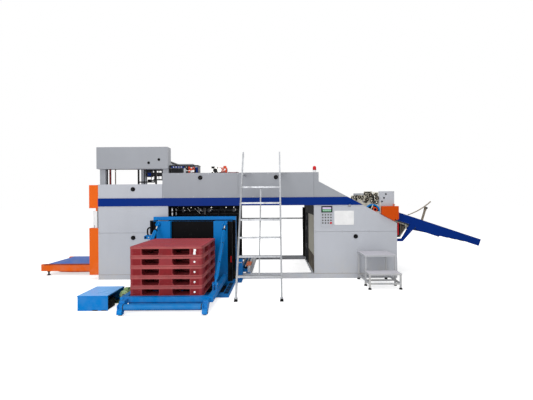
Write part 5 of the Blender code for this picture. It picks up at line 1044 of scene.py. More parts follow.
def console_fittings():
    """Touch screen with its frame, push buttons with their rims, and the bare plate beside them."""
    shape = bmesh.new()
    low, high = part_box("touch_screen")
    face, out = low.y, (0, -1, 0)
    left, right, foot, top = low.x + 0.022, high.x - 0.022, low.z + 0.020, high.z - 0.024
    middle = foot + 0.55 * (top - foot)
    on_face(shape, face, -1, (left - 0.006, right + 0.006), (foot - 0.006, top + 0.006), 0.0010, 4)
    on_face(shape, face, -1, (left, right), (middle, top), 0.0018, 2, sunk=0.0)
    on_face(shape, face, -1, (left, right), (foot, middle - 0.003), 0.0018, 3, sunk=0.0)
    bars(shape, 2, (left + 0.020, face - 0.0020, foot + 0.014), (0.034, 0, 0), 5, (0.020, 0.0012, 0.010))
    box_low, box_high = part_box("control_console")
    panel = box_low.y
    rows, pitch = sizes().button_rows, sizes().button_pitch
    first_x, first_z = (box_low.x + box_high.x - pitch * (rows - 1)) / 2, low.z - 0.050
    places = [
        (first_x + column * pitch, panel, first_z - row * pitch)
        for row in range(rows) for column in range(rows)
    ]
    heads = [(x, y - 0.003, z) for x, y, z in places]
    bolts(shape, 1, places, out, 0.0125, 0.005, 20)
    bolts(shape, 0, heads[:-1], out, 0.0105, 0.010, 16)
    bolts(shape, 5, heads[-1:], out, 0.0165, 0.016, 20)
    for z in (box_low.z + 0.008, box_high.z - 0.008):
        screws = [(x, panel, z) for x in (box_low.x + 0.008, box_high.x - 0.008)]
        bolts(shape, 1, screws, out, 0.004, 0.002, 10)
    piece(
        "console_fittings", shape,
        ["black plastic", "ground steel", "screen lilac", "screen green", "black paint", "button red"],
    )
    plate = bmesh.new()
    low, high = Vector((1.788, FRONT - 0.0025, 1.10)), Vector((2.192, FRONT + 0.001, 1.39))
    block(plate, low, high, 0)
    places = [
        (x, low.y, z) for x in (low.x + 0.012, high.x - 0.012) for z in (low.z + 0.012, high.z - 0.012)
    ]
    bolts(plate, 1, places, out, 0.004, 0.002, 10)
    # Disc, block and nozzle by the stripe's end
    turned(plate, (2.105, FRONT, 1.522), out, [(0, 0.026), (0.011, 0.026), (0.012, 0.022)], 20, 0)
    on_face(plate, FRONT, -1, (2.085, 2.125), (1.477, 1.496), 0.014, 2)
    nozzle = [(0, 0.009), (0.04, 0.009), (0.045, 0.006)]
    turned(plate, (2.075, FRONT - 0.012, 1.500), (1, 0, -0.5), nozzle, 14, 1)
    finishes = ["ivory plastic", "ground steel", "black plastic"]
    piece("bare_plate", plate, finishes, bevel=0.0008)


# Infeed head and conveyor

# Each pulley of the head: along from the gear's left end, height, radius
HEAD_PULLEYS = (
    (0.0603, 0.030, 0.030), (0.1665, 0.030, 0.036), (0.2233, -0.010, 0.024),
    (0.2981, 0.097, 0.036), (0.3944, 0.067, 0.046), (0.3248, -0.018, 0.042), (0.4130, -0.045, 0.034),
    (0.5000, 0.080, 0.032), (0.5278, 0.006, 0.040), (0.5162, -0.078, 0.036),
)
HEAD_BELTS = ((0, 1), (1, 2), (3, 4), (3, 5), (5, 6), (7, 8), (8, 9))
# Black plates of painted shade in the gaps, and steel and cream tie plates, between the brackets: along,
# height, width, height over all, slot
HEAD_SHADE_AND_TIES = (
    (0.108, 0.012, 0.026, 0.100, 4), (0.245, 0.036, 0.022, 0.060, 4), (0.350, 0.030, 0.030, 0.120, 4),
    (0.458, 0.020, 0.036, 0.140, 4), (0.470, 0.105, 0.020, 0.060, 6), (0.545, 0.060, 0.018, 0.070, 4),
    (0.270, 0.075, 0.016, 0.085, 6), (0.035, 0.052, 0.060, 0.016, 6), (0.190, 0.068, 0.085, 0.012, 6),
    (0.355, 0.130, 0.095, 0.016, 4), (0.527, 0.122, 0.070, 0.014, 6), (0.300, -0.070, 0.060, 0.030, 4),
    (0.430, -0.105, 0.050, 0.030, 2), (0.490, -0.030, 0.050, 0.018, 6), (0.135, 0.062, 0.040, 0.018, 4),
    (0.405, 0.010, 0.014, 0.060, 6), (0.560, -0.010, 0.012, 0.120, 6), (0.010, 0.010, 0.012, 0.050, 4),
)
HEAD_SPRINGS = (
    ((0.02, 0.062), (0.15, 0.008)), ((0.27, 0.140), (0.42, 0.098)), ((0.485, 0.130), (0.56, 0.070)),
)


def head_machinery():
    """Belts, hubs, springs, a small motor and its bow bracket on the infeed head's drive side, with painted
    shade in the gaps.
    """
    shape = bmesh.new()
    low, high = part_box("head_gear")
    front, level = low.y, high.z - 0.147
    carrier = front + 0.045
    wheels = [(low.x + along, level + rise, radius) for along, rise, radius in HEAD_PULLEYS]
    for number, members in enumerate(HEAD_BELTS):
        depth = front + 0.004 + 0.013 * (number % 2)
        belt = [wheels[i] for i in members]
        belt_round(shape, belt, 0.005, depth, depth + 0.010, 6 if number % 2 else 1)
    for number, (x, z, radius) in enumerate(wheels):
        cap = [(0, radius * 0.92), (0.003, radius * 0.88), (0.003, 0.0005)]
        turned(shape, (x, front, z), (0, -1, 0), cap, 20, 1)
        hub = [(0.001, radius * 0.42), (0.008, radius * 0.36), (0.008, 0.0005)]
        turned(shape, (x, front, z), (0, -1, 0), hub, 14, 0 if number % 3 else 6)
    for along, rise, wide, tall, slot in HEAD_SHADE_AND_TIES:
        x, z = low.x + along, level + rise
        spans = (x - wide / 2, x + wide / 2), (z - tall / 2, z + tall / 2)
        on_face(shape, carrier, -1, *spans, 0.020, slot, sunk=0.002)
    for (a, b), (c, d) in HEAD_SPRINGS:
        start = Vector((low.x + a, carrier - 0.022, level + b))
        end = Vector((low.x + c, carrier - 0.022, level + d))
        rod(shape, start, end, 0.006, 8, 6)
        discs(shape, 1, start.lerp(end, 0.3), (end - start) * 0.06, 8, 0.012, 0.003, 12)
    # Motor under its bow bracket, its foot behind the cabinet's sloping cover; the black fill inside the bow
    # is painted shade
    face = FRONT + 0.004
    centre = (2.578, 1.368)
    angles = [math.radians(4 + 13 * i) for i in range(13)]
    for outer, inner, depth, slot in ((0.158, 0.130, face, 5), (0.130, 0.010, face + 0.010, 4)):
        bow = [
            (centre[0] + radius * math.cos(a), centre[1] + radius * math.sin(a))
            for radius, run in ((outer, angles), (inner, angles[::-1])) for a in run
        ]
        prism(shape, bow, depth, carrier + 0.004, slot)
    finned_motor(shape, (2.636, carrier + 0.002, 1.412), (0, -1, 0), 0.046, 0.024, (3, 4))
    rod(shape, (2.590, face + 0.004, 1.512), (2.552, face + 0.004, 1.425), 0.009, 8, 6)
    for x, z, wide, slot in ((2.600, 1.462, 0.026, 3), (2.676, 1.450, 0.022, 4), (2.566, 1.395, 0.030, 3)):
        corner = (x - wide / 2, face + 0.006, z - 0.012)
        block(shape, corner, (x + wide / 2, carrier + 0.002, z + 0.012), slot)
    piece(
        "head_machinery", shape,
        [
            "worn steel", "black plastic", "ground steel", "motor paint", "black paint",
            "feeder paint", "cream plastic",
        ],
    )


def head_plates():
    """Black bolts on the head's side plates, cream edge strips as painted highlight, and the guards' knobs.
    """
    shape = bmesh.new()
    bolt = [(0, 0.0175), (0.006, 0.0175), (0.009, 0.012), (0.009, 0.0005)]
    knob = [(0, 0.010), (0.010, 0.010), (0.014, 0.024), (0.034, 0.026), (0.040, 0.016)]
    for word, side, _ in SIDES:
        low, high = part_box(f"{word}_head_guard")
        face = side * max(abs(corner.y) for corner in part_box(f"{word}_side_plate"))
        out = (0, side, 0)
        for x, z, slot in ((2.866, 1.728, 3), (2.826, 1.650, 0), (2.785, 1.576, 0)):
            turned(shape, (x, face, z), out, bolt, 18, slot)
        bolts(shape, 1, [(3.02, face, z) for z in (1.770, 1.52)], out, 0.006, 0.004, 12)
        # Cream strip at the guard's left edge: painted highlight on the side plate's edge
        on_face(shape, face, side, (low.x - 0.010, low.x + 0.002), (1.345, 1.560), 0.006, 4)
        middle, x = (low.y + high.y) / 2, high.x - 0.085
        turned(shape, (x, middle, high.z), (0, 0, 1), knob, 16, 2)
        cap = (x, middle + side * 0.022, high.z + 0.022)
        turned(shape, cap, out, [(0, 0.012), (0.008, 0.010)], 14, 4)
        outer = low.y if side < 0 else high.y
        bolts(shape, 0, [(high.x - 0.075, outer, low.z + 0.026)], out, 0.010, 0.004, 12)
    piece(
        "head_plates", shape,
        ["black plastic", "ground steel", "motor paint", "oiled steel", "cream plastic"],
    )


def bed_rollers(name, node, half_width, idlers):
    """Steel sleeves on a belt bed's drums and idlers, between and beside its belts."""
    shape = bmesh.new()
    low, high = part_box(node)
    drum = sizes().drum_radius
    level = high.z - low.z < 3 * drum
    start = Vector((low.x + drum, 0.0, high.z - drum))
    end = Vector((high.x - drum, 0.0, high.z - drum if level else low.z + drum))
    along = (end - start).normalized()
    upper = Vector((-along.z, 0.0, along.x))
    count, belt = 5, 0.16
    pitch = (2 * half_width - belt) / (count - 1)
    rows = [(start, 0.0558), (end, 0.0558)]
    for i in range(idlers):
        centre = start.lerp(end, (i + 1) / (idlers + 1)) + upper * (0.055 - 0.030 * math.cos(math.pi / 8))
        rows.append((centre, 0.0300))
    gap = pitch - belt
    for centre, radius in rows:
        first = centre + Vector((0, -half_width + belt + gap / 2, 0))
        discs(shape, 0, first, (0, pitch, 0), count - 1, radius, gap - 0.006, 28)
        ends = high.y - half_width
        for side in (-1, 1):
            middle = centre + Vector((0, side * (half_width + ends / 2), 0))
            disc(shape, 0, middle, (0, 1, 0), radius, ends - 0.006, 28)
            collar = centre + Vector((0, side * (high.y - 0.012), 0))
            disc(shape, 1, collar, (0, 1, 0), radius * 1.12, 0.016, 24)
    piece(name, shape, ["ground steel", "oiled steel"])


def conveyor_fittings():
    """Bolts on the conveyor's side frames and straps, and what shows inside the straps."""
    shape = bmesh.new()
    right = MACHINE_HIGH.x

    def on_slope(rows):
        """X and Z of points given by their way along the frame and their drop from its top edge."""
        return [(right + along, 1.384 - 0.336 * along - drop) for along, drop in rows]

    holes = on_slope(((0.55, 0.030), (0.55, 0.120), (1.0, 0.030), (1.0, 0.115), (1.45, 0.03), (1.45, 0.10)))
    skirt = on_slope(
        ((0.50, 0.150), (1.50, 0.150), (1.50, 0.156), (0.93, 0.228), (0.93, 0.240), (0.50, 0.240))
    )
    for side in (-1, 1):
        face = side * 0.9
        places = [(x, face, z) for x, z in holes]
        places.append((right + 0.05, face - side * 0.001, 0.745))
        bolts(shape, 0, places, (0, side, 0), 0.006, 0.003, 10)
        # Skirt under the side frame, over the belts' lower run
        prism(shape, skirt, *sorted((face - side * 0.001, face - side * 0.010)), 0)
    # Edges, streaked screws and red strips on the return rollers' plates
    low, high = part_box("return_rollers")
    corners = [
        (right + 0.004, low.z), (right + 0.168, low.z), (high.x, high.z - 0.128), (right + 0.004, high.z),
    ]
    for side, face in ((-1, low.y), (1, high.y)):
        y = sorted((face - side * 0.001, face + side * 0.006))
        for (x0, z0), (x1, z1) in zip(corners, corners[1:] + corners[:1]):
            way = Vector((x1 - x0, 0, z1 - z0)).normalized()
            inwards = Vector((-way.z, 0, way.x)) * 0.017
            outline = [(x0, z0), (x1, z1), (x1 + inwards.x, z1 + inwards.z), (x0 + inwards.x, z0 + inwards.z)]
            prism(shape, outline, y[0], y[1], 2)
        strip = (right + 0.118, right + 0.150), (low.z + 0.05, high.z - 0.06)
        on_face(shape, face, side, *strip, 0.008, 3)
        for dx, z0, z1, slot in (
            (0.165, 0.10, 0.30, 1), (0.190, 0.07, 0.26, 4), (0.212, 0.16, 0.29, 1), (0.235, 0.14, 0.24, 4),
            (0.262, 0.20, 0.29, 1), (0.285, 0.21, 0.27, 2),
        ):
            streak = (right + dx, right + dx + 0.012), (low.z + z0, low.z + z1)
            on_face(shape, face, side, *streak, 0.008, slot)
        bolts(shape, 4, [(right + 0.20, face, low.z + 0.30)], (0, side, 0), 0.016, 0.008, 12)
    piece(
        "conveyor_fittings", shape,
        ["stripe paint", "black paint", "inner wall paint", "button red", "worn steel"],
    )


def guide_fittings():
    """Locking knob and plain washers on the sheet guide's pin."""
    shape = bmesh.new()
    low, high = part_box("guide_post")
    joint = next(j for j in frame["joints"] if j["name"] == "guide_arm_swing")
    x, _, z = joint["pos_m"]
    washer = [(0, 0.013), (0.004, 0.013), (0.004, 0.008), (0.010, 0.007)]
    for side, y in ((-1, low.y), (1, high.y)):
        turned(shape, (x, y, z), (0, side, 0), washer, 16, 0)
    knob = [(0, 0.008), (0.004, 0.017), (0.018, 0.019), (0.022, 0.014)]
    turned(shape, (x, low.y - 0.009, z), (0, -1, 0), knob, 18, 1)
    ring(shape, 1, (x, low.y - 0.020, z), (0, 1, 0), 0.0185, 10, (0.004, 0.004, 0.012))
    piece("guide_fittings", shape, ["ground steel", "black plastic"])


# On the bridge

def valve_bank():
    """Ribbed block, valves with caps and knobs, fittings and a dark lid in the valve box."""
    shape = bmesh.new()
    low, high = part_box("valve_box")
    floor = low.z + 0.007
    left, front = low.x, low.y
    bars(shape, 0, (left + 0.030, front + 0.095, floor + 0.050), (0.0125, 0, 0), 19, (0.006, 0.150, 0.095))
    block(shape, (left + 0.02, front + 0.020, floor), (left + 0.27, front + 0.170, floor + 0.006), 0)
    block(shape, (left + 0.03, front + 0.014, floor + 0.108), (left + 0.29, front + 0.090, floor + 0.140), 1)
    bars(shape, 4, (left + 0.075, front + 0.012, floor + 0.126), (0.055, 0, 0), 4, (0.030, 0.006, 0.012))
    block(shape, (left + 0.285, front + 0.030, floor), (left + 0.325, front + 0.12, floor + 0.100), 5)
    for i, slot in enumerate((0, 2, 4, 2)):
        x = left + 0.335 + i * 0.045
        height = (0.10, 0.135, 0.115, 0.125)[i]
        block(shape, (x, front + 0.024, floor + 0.01), (x + 0.036, front + 0.100, floor + height), slot)
        disc(shape, 3, (x + 0.018, front + 0.020, floor + 0.050), (0, 1, 0), 0.011, 0.012, 16)
        disc(shape, 0, (x + 0.018, front + 0.018, floor + 0.084), (0, 1, 0), 0.010, 0.010, 12)
    knob = [(0, 0.012), (0.014, 0.015), (0.018, 0.024), (0.030, 0.024), (0.034, 0.016)]
    turned(shape, (left + 0.445, front + 0.022, floor + 0.070), (0, -1, 0.2), knob, 18, 2)
    turned(shape, (left + 0.490, front + 0.020, floor + 0.036), (0, -1, 0), knob, 18, 4)
    block(shape, (high.x - 0.068, front + 0.03, floor), (high.x - 0.012, front + 0.13, floor + 0.125), 1)
    for x in (low.x - 0.002, high.x - 0.010):
        block(shape, (x, front - 0.002, low.z), (x + 0.012, front + 0.012, high.z), 0)
    block(
        shape, (low.x - 0.006, front - 0.006, high.z - 0.004),
        (high.x + 0.006, high.y + 0.004, high.z + 0.004), 0
    )
    piece(
        "valve_bank", shape,
        ["black plastic", "stripe paint", "motor paint", "ground steel", "ivory plastic", "panel paint"],
        bevel=0.0015,
    )


def bridge_motor():
    """Fins, flange bolts, a terminal box and feet on the bridge's gear motor, and its guard rod."""
    shape = bmesh.new()
    low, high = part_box("bridge_drive")
    y, z = (low.y + high.y) / 2, low.z + 0.065
    joint = low.x + 0.149
    finned_motor(shape, (joint, y, z), (1, 0, 0), 0.057, high.x - joint + 0.006, (3, 1))
    block(shape, (joint + 0.10, y - 0.03, z + 0.048), (joint + 0.155, y + 0.03, z + 0.090), 3)
    disc(shape, 5, (joint + 0.135, low.y + 0.006, z + 0.01), (0, 1, 0), 0.016, 0.012, 16)
    places = [(low.x + 0.02 + 0.11 * (i % 2), low.y, low.z + 0.02 + 0.09 * (i // 2)) for i in range(4)]
    bolts(shape, 1, places, (0, -1, 0), 0.011)
    boss = [(0, 0.045), (0.008, 0.045), (0.010, 0.024), (0.030, 0.024), (0.030, 0.0005)]
    turned(shape, (low.x + 0.085, low.y, z - 0.01), (0, -1, 0), boss, 24, 1)
    turned(shape, (joint + 0.02, low.y + 0.004, z), (0, -1, 0), boss[:3] + [(0.010, 0.0005)], 24, 0)
    block(shape, (low.x - 0.01, low.y - 0.008, low.z), (low.x + 0.165, high.y + 0.008, low.z + 0.012), 1)
    block(
        shape, (low.x + 0.004, low.y - 0.006, low.z + 0.096), (low.x + 0.070, low.y + 0.05, high.z + 0.010), 1
    )
    block(
        shape, (low.x + 0.030, low.y - 0.004, low.z + 0.030), (low.x + 0.050, low.y + 0.01, low.z + 0.110), 5
    )
    start, end = high.x + 0.02, high.x + 0.25
    rod(shape, (start, low.y + 0.02, low.z + 0.011), (end, low.y + 0.02, low.z + 0.011), 0.011, 12, 4)
    for x in (start + 0.04, end - 0.04):
        disc(shape, 1, (x, low.y + 0.02, low.z + 0.011), (1, 0, 0), 0.0135, 0.02, 14)
    piece(
        "bridge_motor", shape,
        ["ground steel", "black plastic", "chrome rod", "motor paint", "rod paint", "ivory plastic"],
    )


def beacon_ribs():
    """Rings on the beacon's lens and its seal."""
    shape = bmesh.new()
    low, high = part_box("beacon_lens")
    x, y = (low.x + high.x) / 2, (low.y + high.y) / 2
    radius = (high.x - low.x) / 2
    discs(shape, 0, (x, y, low.z + 0.010), (0, 0, 0.0085), 6, radius * 1.03, 0.0035, 28)
    disc(shape, 1, (x, y, low.z), (0, 0, 1), radius * 1.08, 0.004, 28)
    piece("beacon_ribs", shape, ["lens plastic", "black plastic"])


# Exit end

def exit_fittings():
    """Light curtain posts, guard edges, the table's deck sheet, trims, bolts and foot nuts."""
    shape = bmesh.new()
    for word, side, _ in SIDES:
        low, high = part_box(f"{word}_exit_guard")
        outer = side * max(abs(low.y), abs(high.y))
        post_y = sorted((outer - side * 0.029, outer - side * 0.076))
        gap_low, gap_high = 1.065, 1.475
        x = (high.x - 0.118, high.x - 0.016)
        block(shape, (x[0], post_y[0], gap_low), (x[1], post_y[1], gap_high - 0.06), 0)
        block(shape, (x[1] - 0.016, post_y[0], gap_low), (x[1], post_y[1], gap_high), 5)
        block(
            shape, (x[0] + 0.020, post_y[0] - 0.001, gap_low + 0.004),
            (x[0] + 0.030, post_y[1] + 0.001, gap_low + 0.06), 1
        )
        for z_low, z_high in ((low.z, gap_low), (gap_high, high.z)):
            places = [(low.x + 0.02, outer, z) for z in (z_low + 0.03, z_high - 0.03)]
            places += [(high.x - 0.02, outer, z) for z in (z_low + 0.03, z_high - 0.03)]
            bolts(shape, 6, places, (0, side, 0), 0.006, 0.004, 12)
    low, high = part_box("exit_table")
    beam = 0.060
    deck_left = low.x + 0.112
    y = (low.y + beam + 0.004, high.y - beam - 0.004)
    block(shape, (deck_left, y[0], high.z - 0.002), (high.x - 0.004, y[1] + beam, high.z + 0.0015), 3)
    block(shape, (deck_left - 0.05, y[0] - 0.026, high.z - 0.002), (high.x - 0.004, y[0], high.z + 0.0030), 4)
    for face, way in ((low.y, -1), (high.y, 1)):
        places = [(low.x + 0.05 + 0.45 * i, face, high.z - 0.074) for i in range(4)]
        bolts(shape, 6, places, (0, way, 0), 0.007, 0.004, 12)
        edge = sorted((face + way * 0.0012, face - way * 0.002))
        block(
            shape, (deck_left - 0.05, edge[0], high.z - 0.014), (high.x - 0.004, edge[1], high.z + 0.0005), 4
        )
    for x_foot in (low.x + 0.15, high.x - 0.15):
        for y_foot in (low.y + beam / 2 + 0.007, high.y - beam / 2 - 0.007):
            sleeve = [
                (0.0, 0.039), (0.015, 0.039), (0.022, 0.0175), (0.070, 0.0175), (0.072, 0.028),
                (0.086, 0.028)
            ]
            turned(shape, (x_foot, y_foot, 0.0004), (0, 0, 1), sleeve, 16, 2)
    under = high.z - 0.148
    tray = [
        (low.x + 0.36, under + 0.001), (high.x - 0.02, under + 0.001), (high.x - 0.02, under - 0.018),
        (low.x + 0.75, under - 0.026), (low.x + 0.44, under - 0.020),
    ]
    prism(shape, tray, low.y + 0.006, low.y + 0.050, 7)
    piece(
        "exit_fittings", shape,
        [
            "ivory plastic", "black plastic", "oiled steel", "deck paint", "rod paint", "worn steel",
            "guard paint", "tray paint",
        ],
    )


# Pallet bay

def bay_machinery():
    """Shafts, sprockets, clamps and hose before the bay screen, and the transfer bed's chains."""
    shape = bmesh.new()
    low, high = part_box("bay_screen")
    face = low.y
    z = high.z - 0.105
    rod(shape, (low.x + 0.02, face - 0.075, z), (high.x - 0.02, face - 0.075, z), 0.012, 14, 0)
    rod(
        shape, (low.x + 0.02, face - 0.050, z - 0.085), (high.x - 0.02, face - 0.050, z - 0.085),
        0.009, 12, 0
    )
    for x in (-1.45, -1.10, -0.88, -0.34):
        block(shape, (x - 0.02, face - 0.10, z - 0.04), (x + 0.02, face, z + 0.04), 0)
        disc(shape, 1, (x + 0.035, face - 0.075, z), (1, 0, 0), 0.036, 0.012, 20)
        disc(shape, 0, (x - 0.035, face - 0.075, z), (1, 0, 0), 0.026, 0.012, 16)
    for x, y, top, width in (
        (-1.598, FRONT + 0.11, z + 0.05, 0.022), (-1.575, FRONT + 0.32, z + 0.04, 0.020)
    ):
        block(shape, (x, y, z - 0.10), (x + width, y + 0.02, top), 3)
        disc(shape, 2, (x + width / 2, y - 0.006, z - 0.02), (0, 1, 0), 0.017, 0.012, 14)
    for (x0, z0), (x1, z1) in (
        ((-1.205, 0.045), (-1.075, -0.075)), ((-1.135, 0.060), (-1.020, -0.035)),
        ((-0.995, 0.055), (-0.990, -0.095)), ((-0.965, 0.045), (-0.968, -0.095)),
        ((-0.925, -0.02), (-0.800, 0.020)), ((-1.36, 0.05), (-1.30, -0.02)),
    ):
        rod(shape, (x0, face - 0.090, z + z0), (x1, face - 0.090, z + z1), 0.007, 8, 1)
    hose = [
        (-0.675, -0.12), (-0.665, 0.0), (-0.625, 0.055), (-0.560, 0.015), (-0.530, -0.06), (-0.520, -0.12)
    ]
    pipe(shape, [(x, face - 0.095, z + rise) for x, rise in hose], 0.008, 8, 0)
    for x in (-1.42, -0.75):
        hose = [(x, z + 0.03), (x + 0.02, z + 0.055), (x + 0.09, z + 0.01), (x + 0.10, z - 0.10)]
        pipe(shape, [(a, face - 0.05, b) for a, b in hose], 0.009, 8, 2)
    bolts(
        shape, 1, [(x, face, z + 0.06) for x in (-1.60, -1.47, -1.30, -0.85, -0.52, -0.35)], (0, -1, 0), 0.010
    )
    low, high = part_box("transfer_conveyor")
    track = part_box("bay_screen")[1].x + 0.010
    for x, start, end in (
        (low.x + 0.16, low.y + 0.08, face - 0.03), (low.x + 0.30, low.y + 0.08, face - 0.03),
        (track + 0.025, low.y + 0.01, high.y - 0.01), (track + 0.105, low.y + 0.02, high.y - 0.06),
    ):
        block(shape, (x - 0.020, start, high.z - 0.050), (x + 0.020, end, high.z + 0.001), 2)
        count = int((end - start - 0.02) / 0.030)
        bars(shape, 1, (x, start + 0.02, high.z + 0.002), (0, 0.030, 0), count, (0.034, 0.010, 0.005))
    x = high.x - 0.025
    block(shape, (x - 0.026, low.y - 0.001, low.z + 0.02), (x + 0.026, high.y, high.z + 0.003), 3)
    block(shape, (x - 0.075, low.y + 0.12, high.z - 0.02), (x + 0.026, low.y + 0.56, high.z + 0.006), 5)
    piece(
        "bay_machinery", shape,
        ["oiled steel", "ground steel", "black plastic", "drawn aluminium", "ivory plastic", "marker orange"],
    )


# Pallet feeder

def mast_shade_liners():
    """Black liners of painted shade on the feeder's back panel, channels, portal posts and floor rails."""
    shape = bmesh.new()
    low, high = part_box("feeder_masts")
    portal_low, portal_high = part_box("feeder_portal")
    floor_low, floor_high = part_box("feeder_floor_frame")
    middle = (low.x + high.x) / 2
    mast_front = high.y - 0.2200
    panel, face = mast_front + 0.0900, portal_low.y
    block(
        shape, (middle - 0.415, panel - 0.0015, low.z + 0.13),
        (middle + 0.415, panel + 0.001, high.z - 0.002), 0
    )
    for side in (-1, 1):
        x = sorted((middle + side * 0.6815, middle + side * 0.7640))
        front = mast_front + 0.0300
        block(shape, (x[0], front - 0.0015, low.z + 0.004), (x[1], front + 0.001, high.z - 0.002), 0)
        x = sorted((middle + side * 0.7640, middle + side * 0.7668))
        block(shape, (x[0], front - 0.0300, low.z + 0.004), (x[1], face - 0.002, high.z - 0.002), 0)
        x = sorted((middle + side * 0.7600, middle + side * 0.8135))
        block(shape, (x[0], face - 0.0015, low.z + 0.004), (x[1], face + 0.001, portal_high.z - 0.070), 0)
        places = [(middle + side * 0.72, front - 0.001, low.z + 0.10 + 0.16 * i) for i in range(7)]
        bolts(shape, 0, places, (0, -1, 0), 0.007, 0.004, 10)
        bars(
            shape, 2, (middle + side * 0.56, mast_front - 0.001, low.z + 0.28), (0, 0, 0.30), 3,
            (0.10, 0.003, 0.012)
        )
        x = sorted((middle + side * 0.730, middle + side * 0.800))
        block(
            shape, (x[0], floor_low.y + 0.03, portal_low.z - 0.001),
            (x[1], low.y - 0.005, portal_low.z + 0.0015), 0
        )
        bars(
            shape, 2, (middle + side * 0.765, floor_low.y + 0.12, portal_low.z + 0.002), (0, 0.11, 0), 6,
            (0.066, 0.012, 0.003), (0.0, 0.0, 0.5 * side),
        )
    block(shape, (middle + 0.735, mast_front + 0.012, 0.43), (middle + 0.757, mast_front + 0.031, 0.55), 4)
    block(
        shape, (middle - 0.885, face + 0.004, 0.955), (middle - 0.770, face + 0.010, portal_high.z - 0.070), 0
    )
    # Black sheet on the tray well's floor: painted shade
    well = (floor_low.y + 0.103, mast_front - 0.103)
    block(shape, (middle - 0.712, well[0], 0.0095), (middle + 0.712, well[1], 0.0112), 0)
    for x in (middle - 0.79, middle + 0.79):
        bolts(shape, 1, [(x, face - 0.001, z) for z in (0.12, 0.70, 1.20)], (0, -1, 0), 0.008)
    bars(shape, 3, (middle, face - 0.001, portal_high.z - 0.0665), (0, 0, 0.001), 1, (1.52, 0.004, 0.008))
    piece(
        "mast_shade_liners", shape,
        ["black paint", "oiled steel", "feeder paint", "black plastic", "button red"],
    )


def tie_rod_fittings():
    """Chromed rod ends, lock rings, straps, knuckles and a hard pipe along each tie rod."""
    shape = bmesh.new()
    for node in ("left_tie_rod", "right_tie_rod"):
        low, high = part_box(node)
        x = (low.x + high.x) / 2
        top = Vector((x, high.y - 0.0260, high.z - 0.0255))
        foot = Vector((x, low.y + 0.0260, low.z + 0.0255))
        way = (foot - top).normalized()
        up = Vector((0, way.z, -way.y))
        if up.z < 0:
            up.negate()
        reach = (foot - top).length
        turned(shape, top + way * 0.058, way, [(0, 0.0152), (0.090, 0.0152)], 20, 0)
        turned(
            shape, top + way * 0.146, way,
            [(0, 0.030), (0.003, 0.0362), (0.032, 0.0362), (0.036, 0.031)], 24, 1
        )
        turned(shape, top + way * 0.128, way, [(0, 0.022), (0.016, 0.022)], 6, 0)
        turned(shape, top + way * 0.200, way, [(0, 0.0345), (reach - 0.34, 0.0345)], 24, 3)
        start, end = top + way * 0.22 + up * 0.044, top + way * (reach - 0.16) + up * 0.044
        pipe(
            shape, [start - up * 0.012, start + way * 0.03, end - way * 0.03, end - up * 0.012],
            0.0120, 10, 2
        )
        for share in (0.36, 0.68):
            centre = top + way * reach * share
            turned(shape, centre, way, [(0, 0.0360), (0.012, 0.0360)], 24, 1)
            block(
                shape, centre + up * 0.034 - Vector((0.010, 0.004, 0.004)),
                centre + up * 0.050 + Vector((0.010, 0.010, 0.004)), 1
            )
        for end_point, boss in ((top, 0.020), (foot, 0.033)):
            for side in (-1, 1):
                disc(shape, 2, end_point + Vector((side * 0.0345, 0, 0)), (1, 0, 0), boss, 0.010, 20)
                disc(shape, 0, end_point + Vector((side * 0.0405, 0, 0)), (1, 0, 0), 0.011, 0.004, 14)
    piece(
        "tie_rod_fittings", shape, ["chrome rod", "black plastic", "roller paint", "feeder paint"],
    )


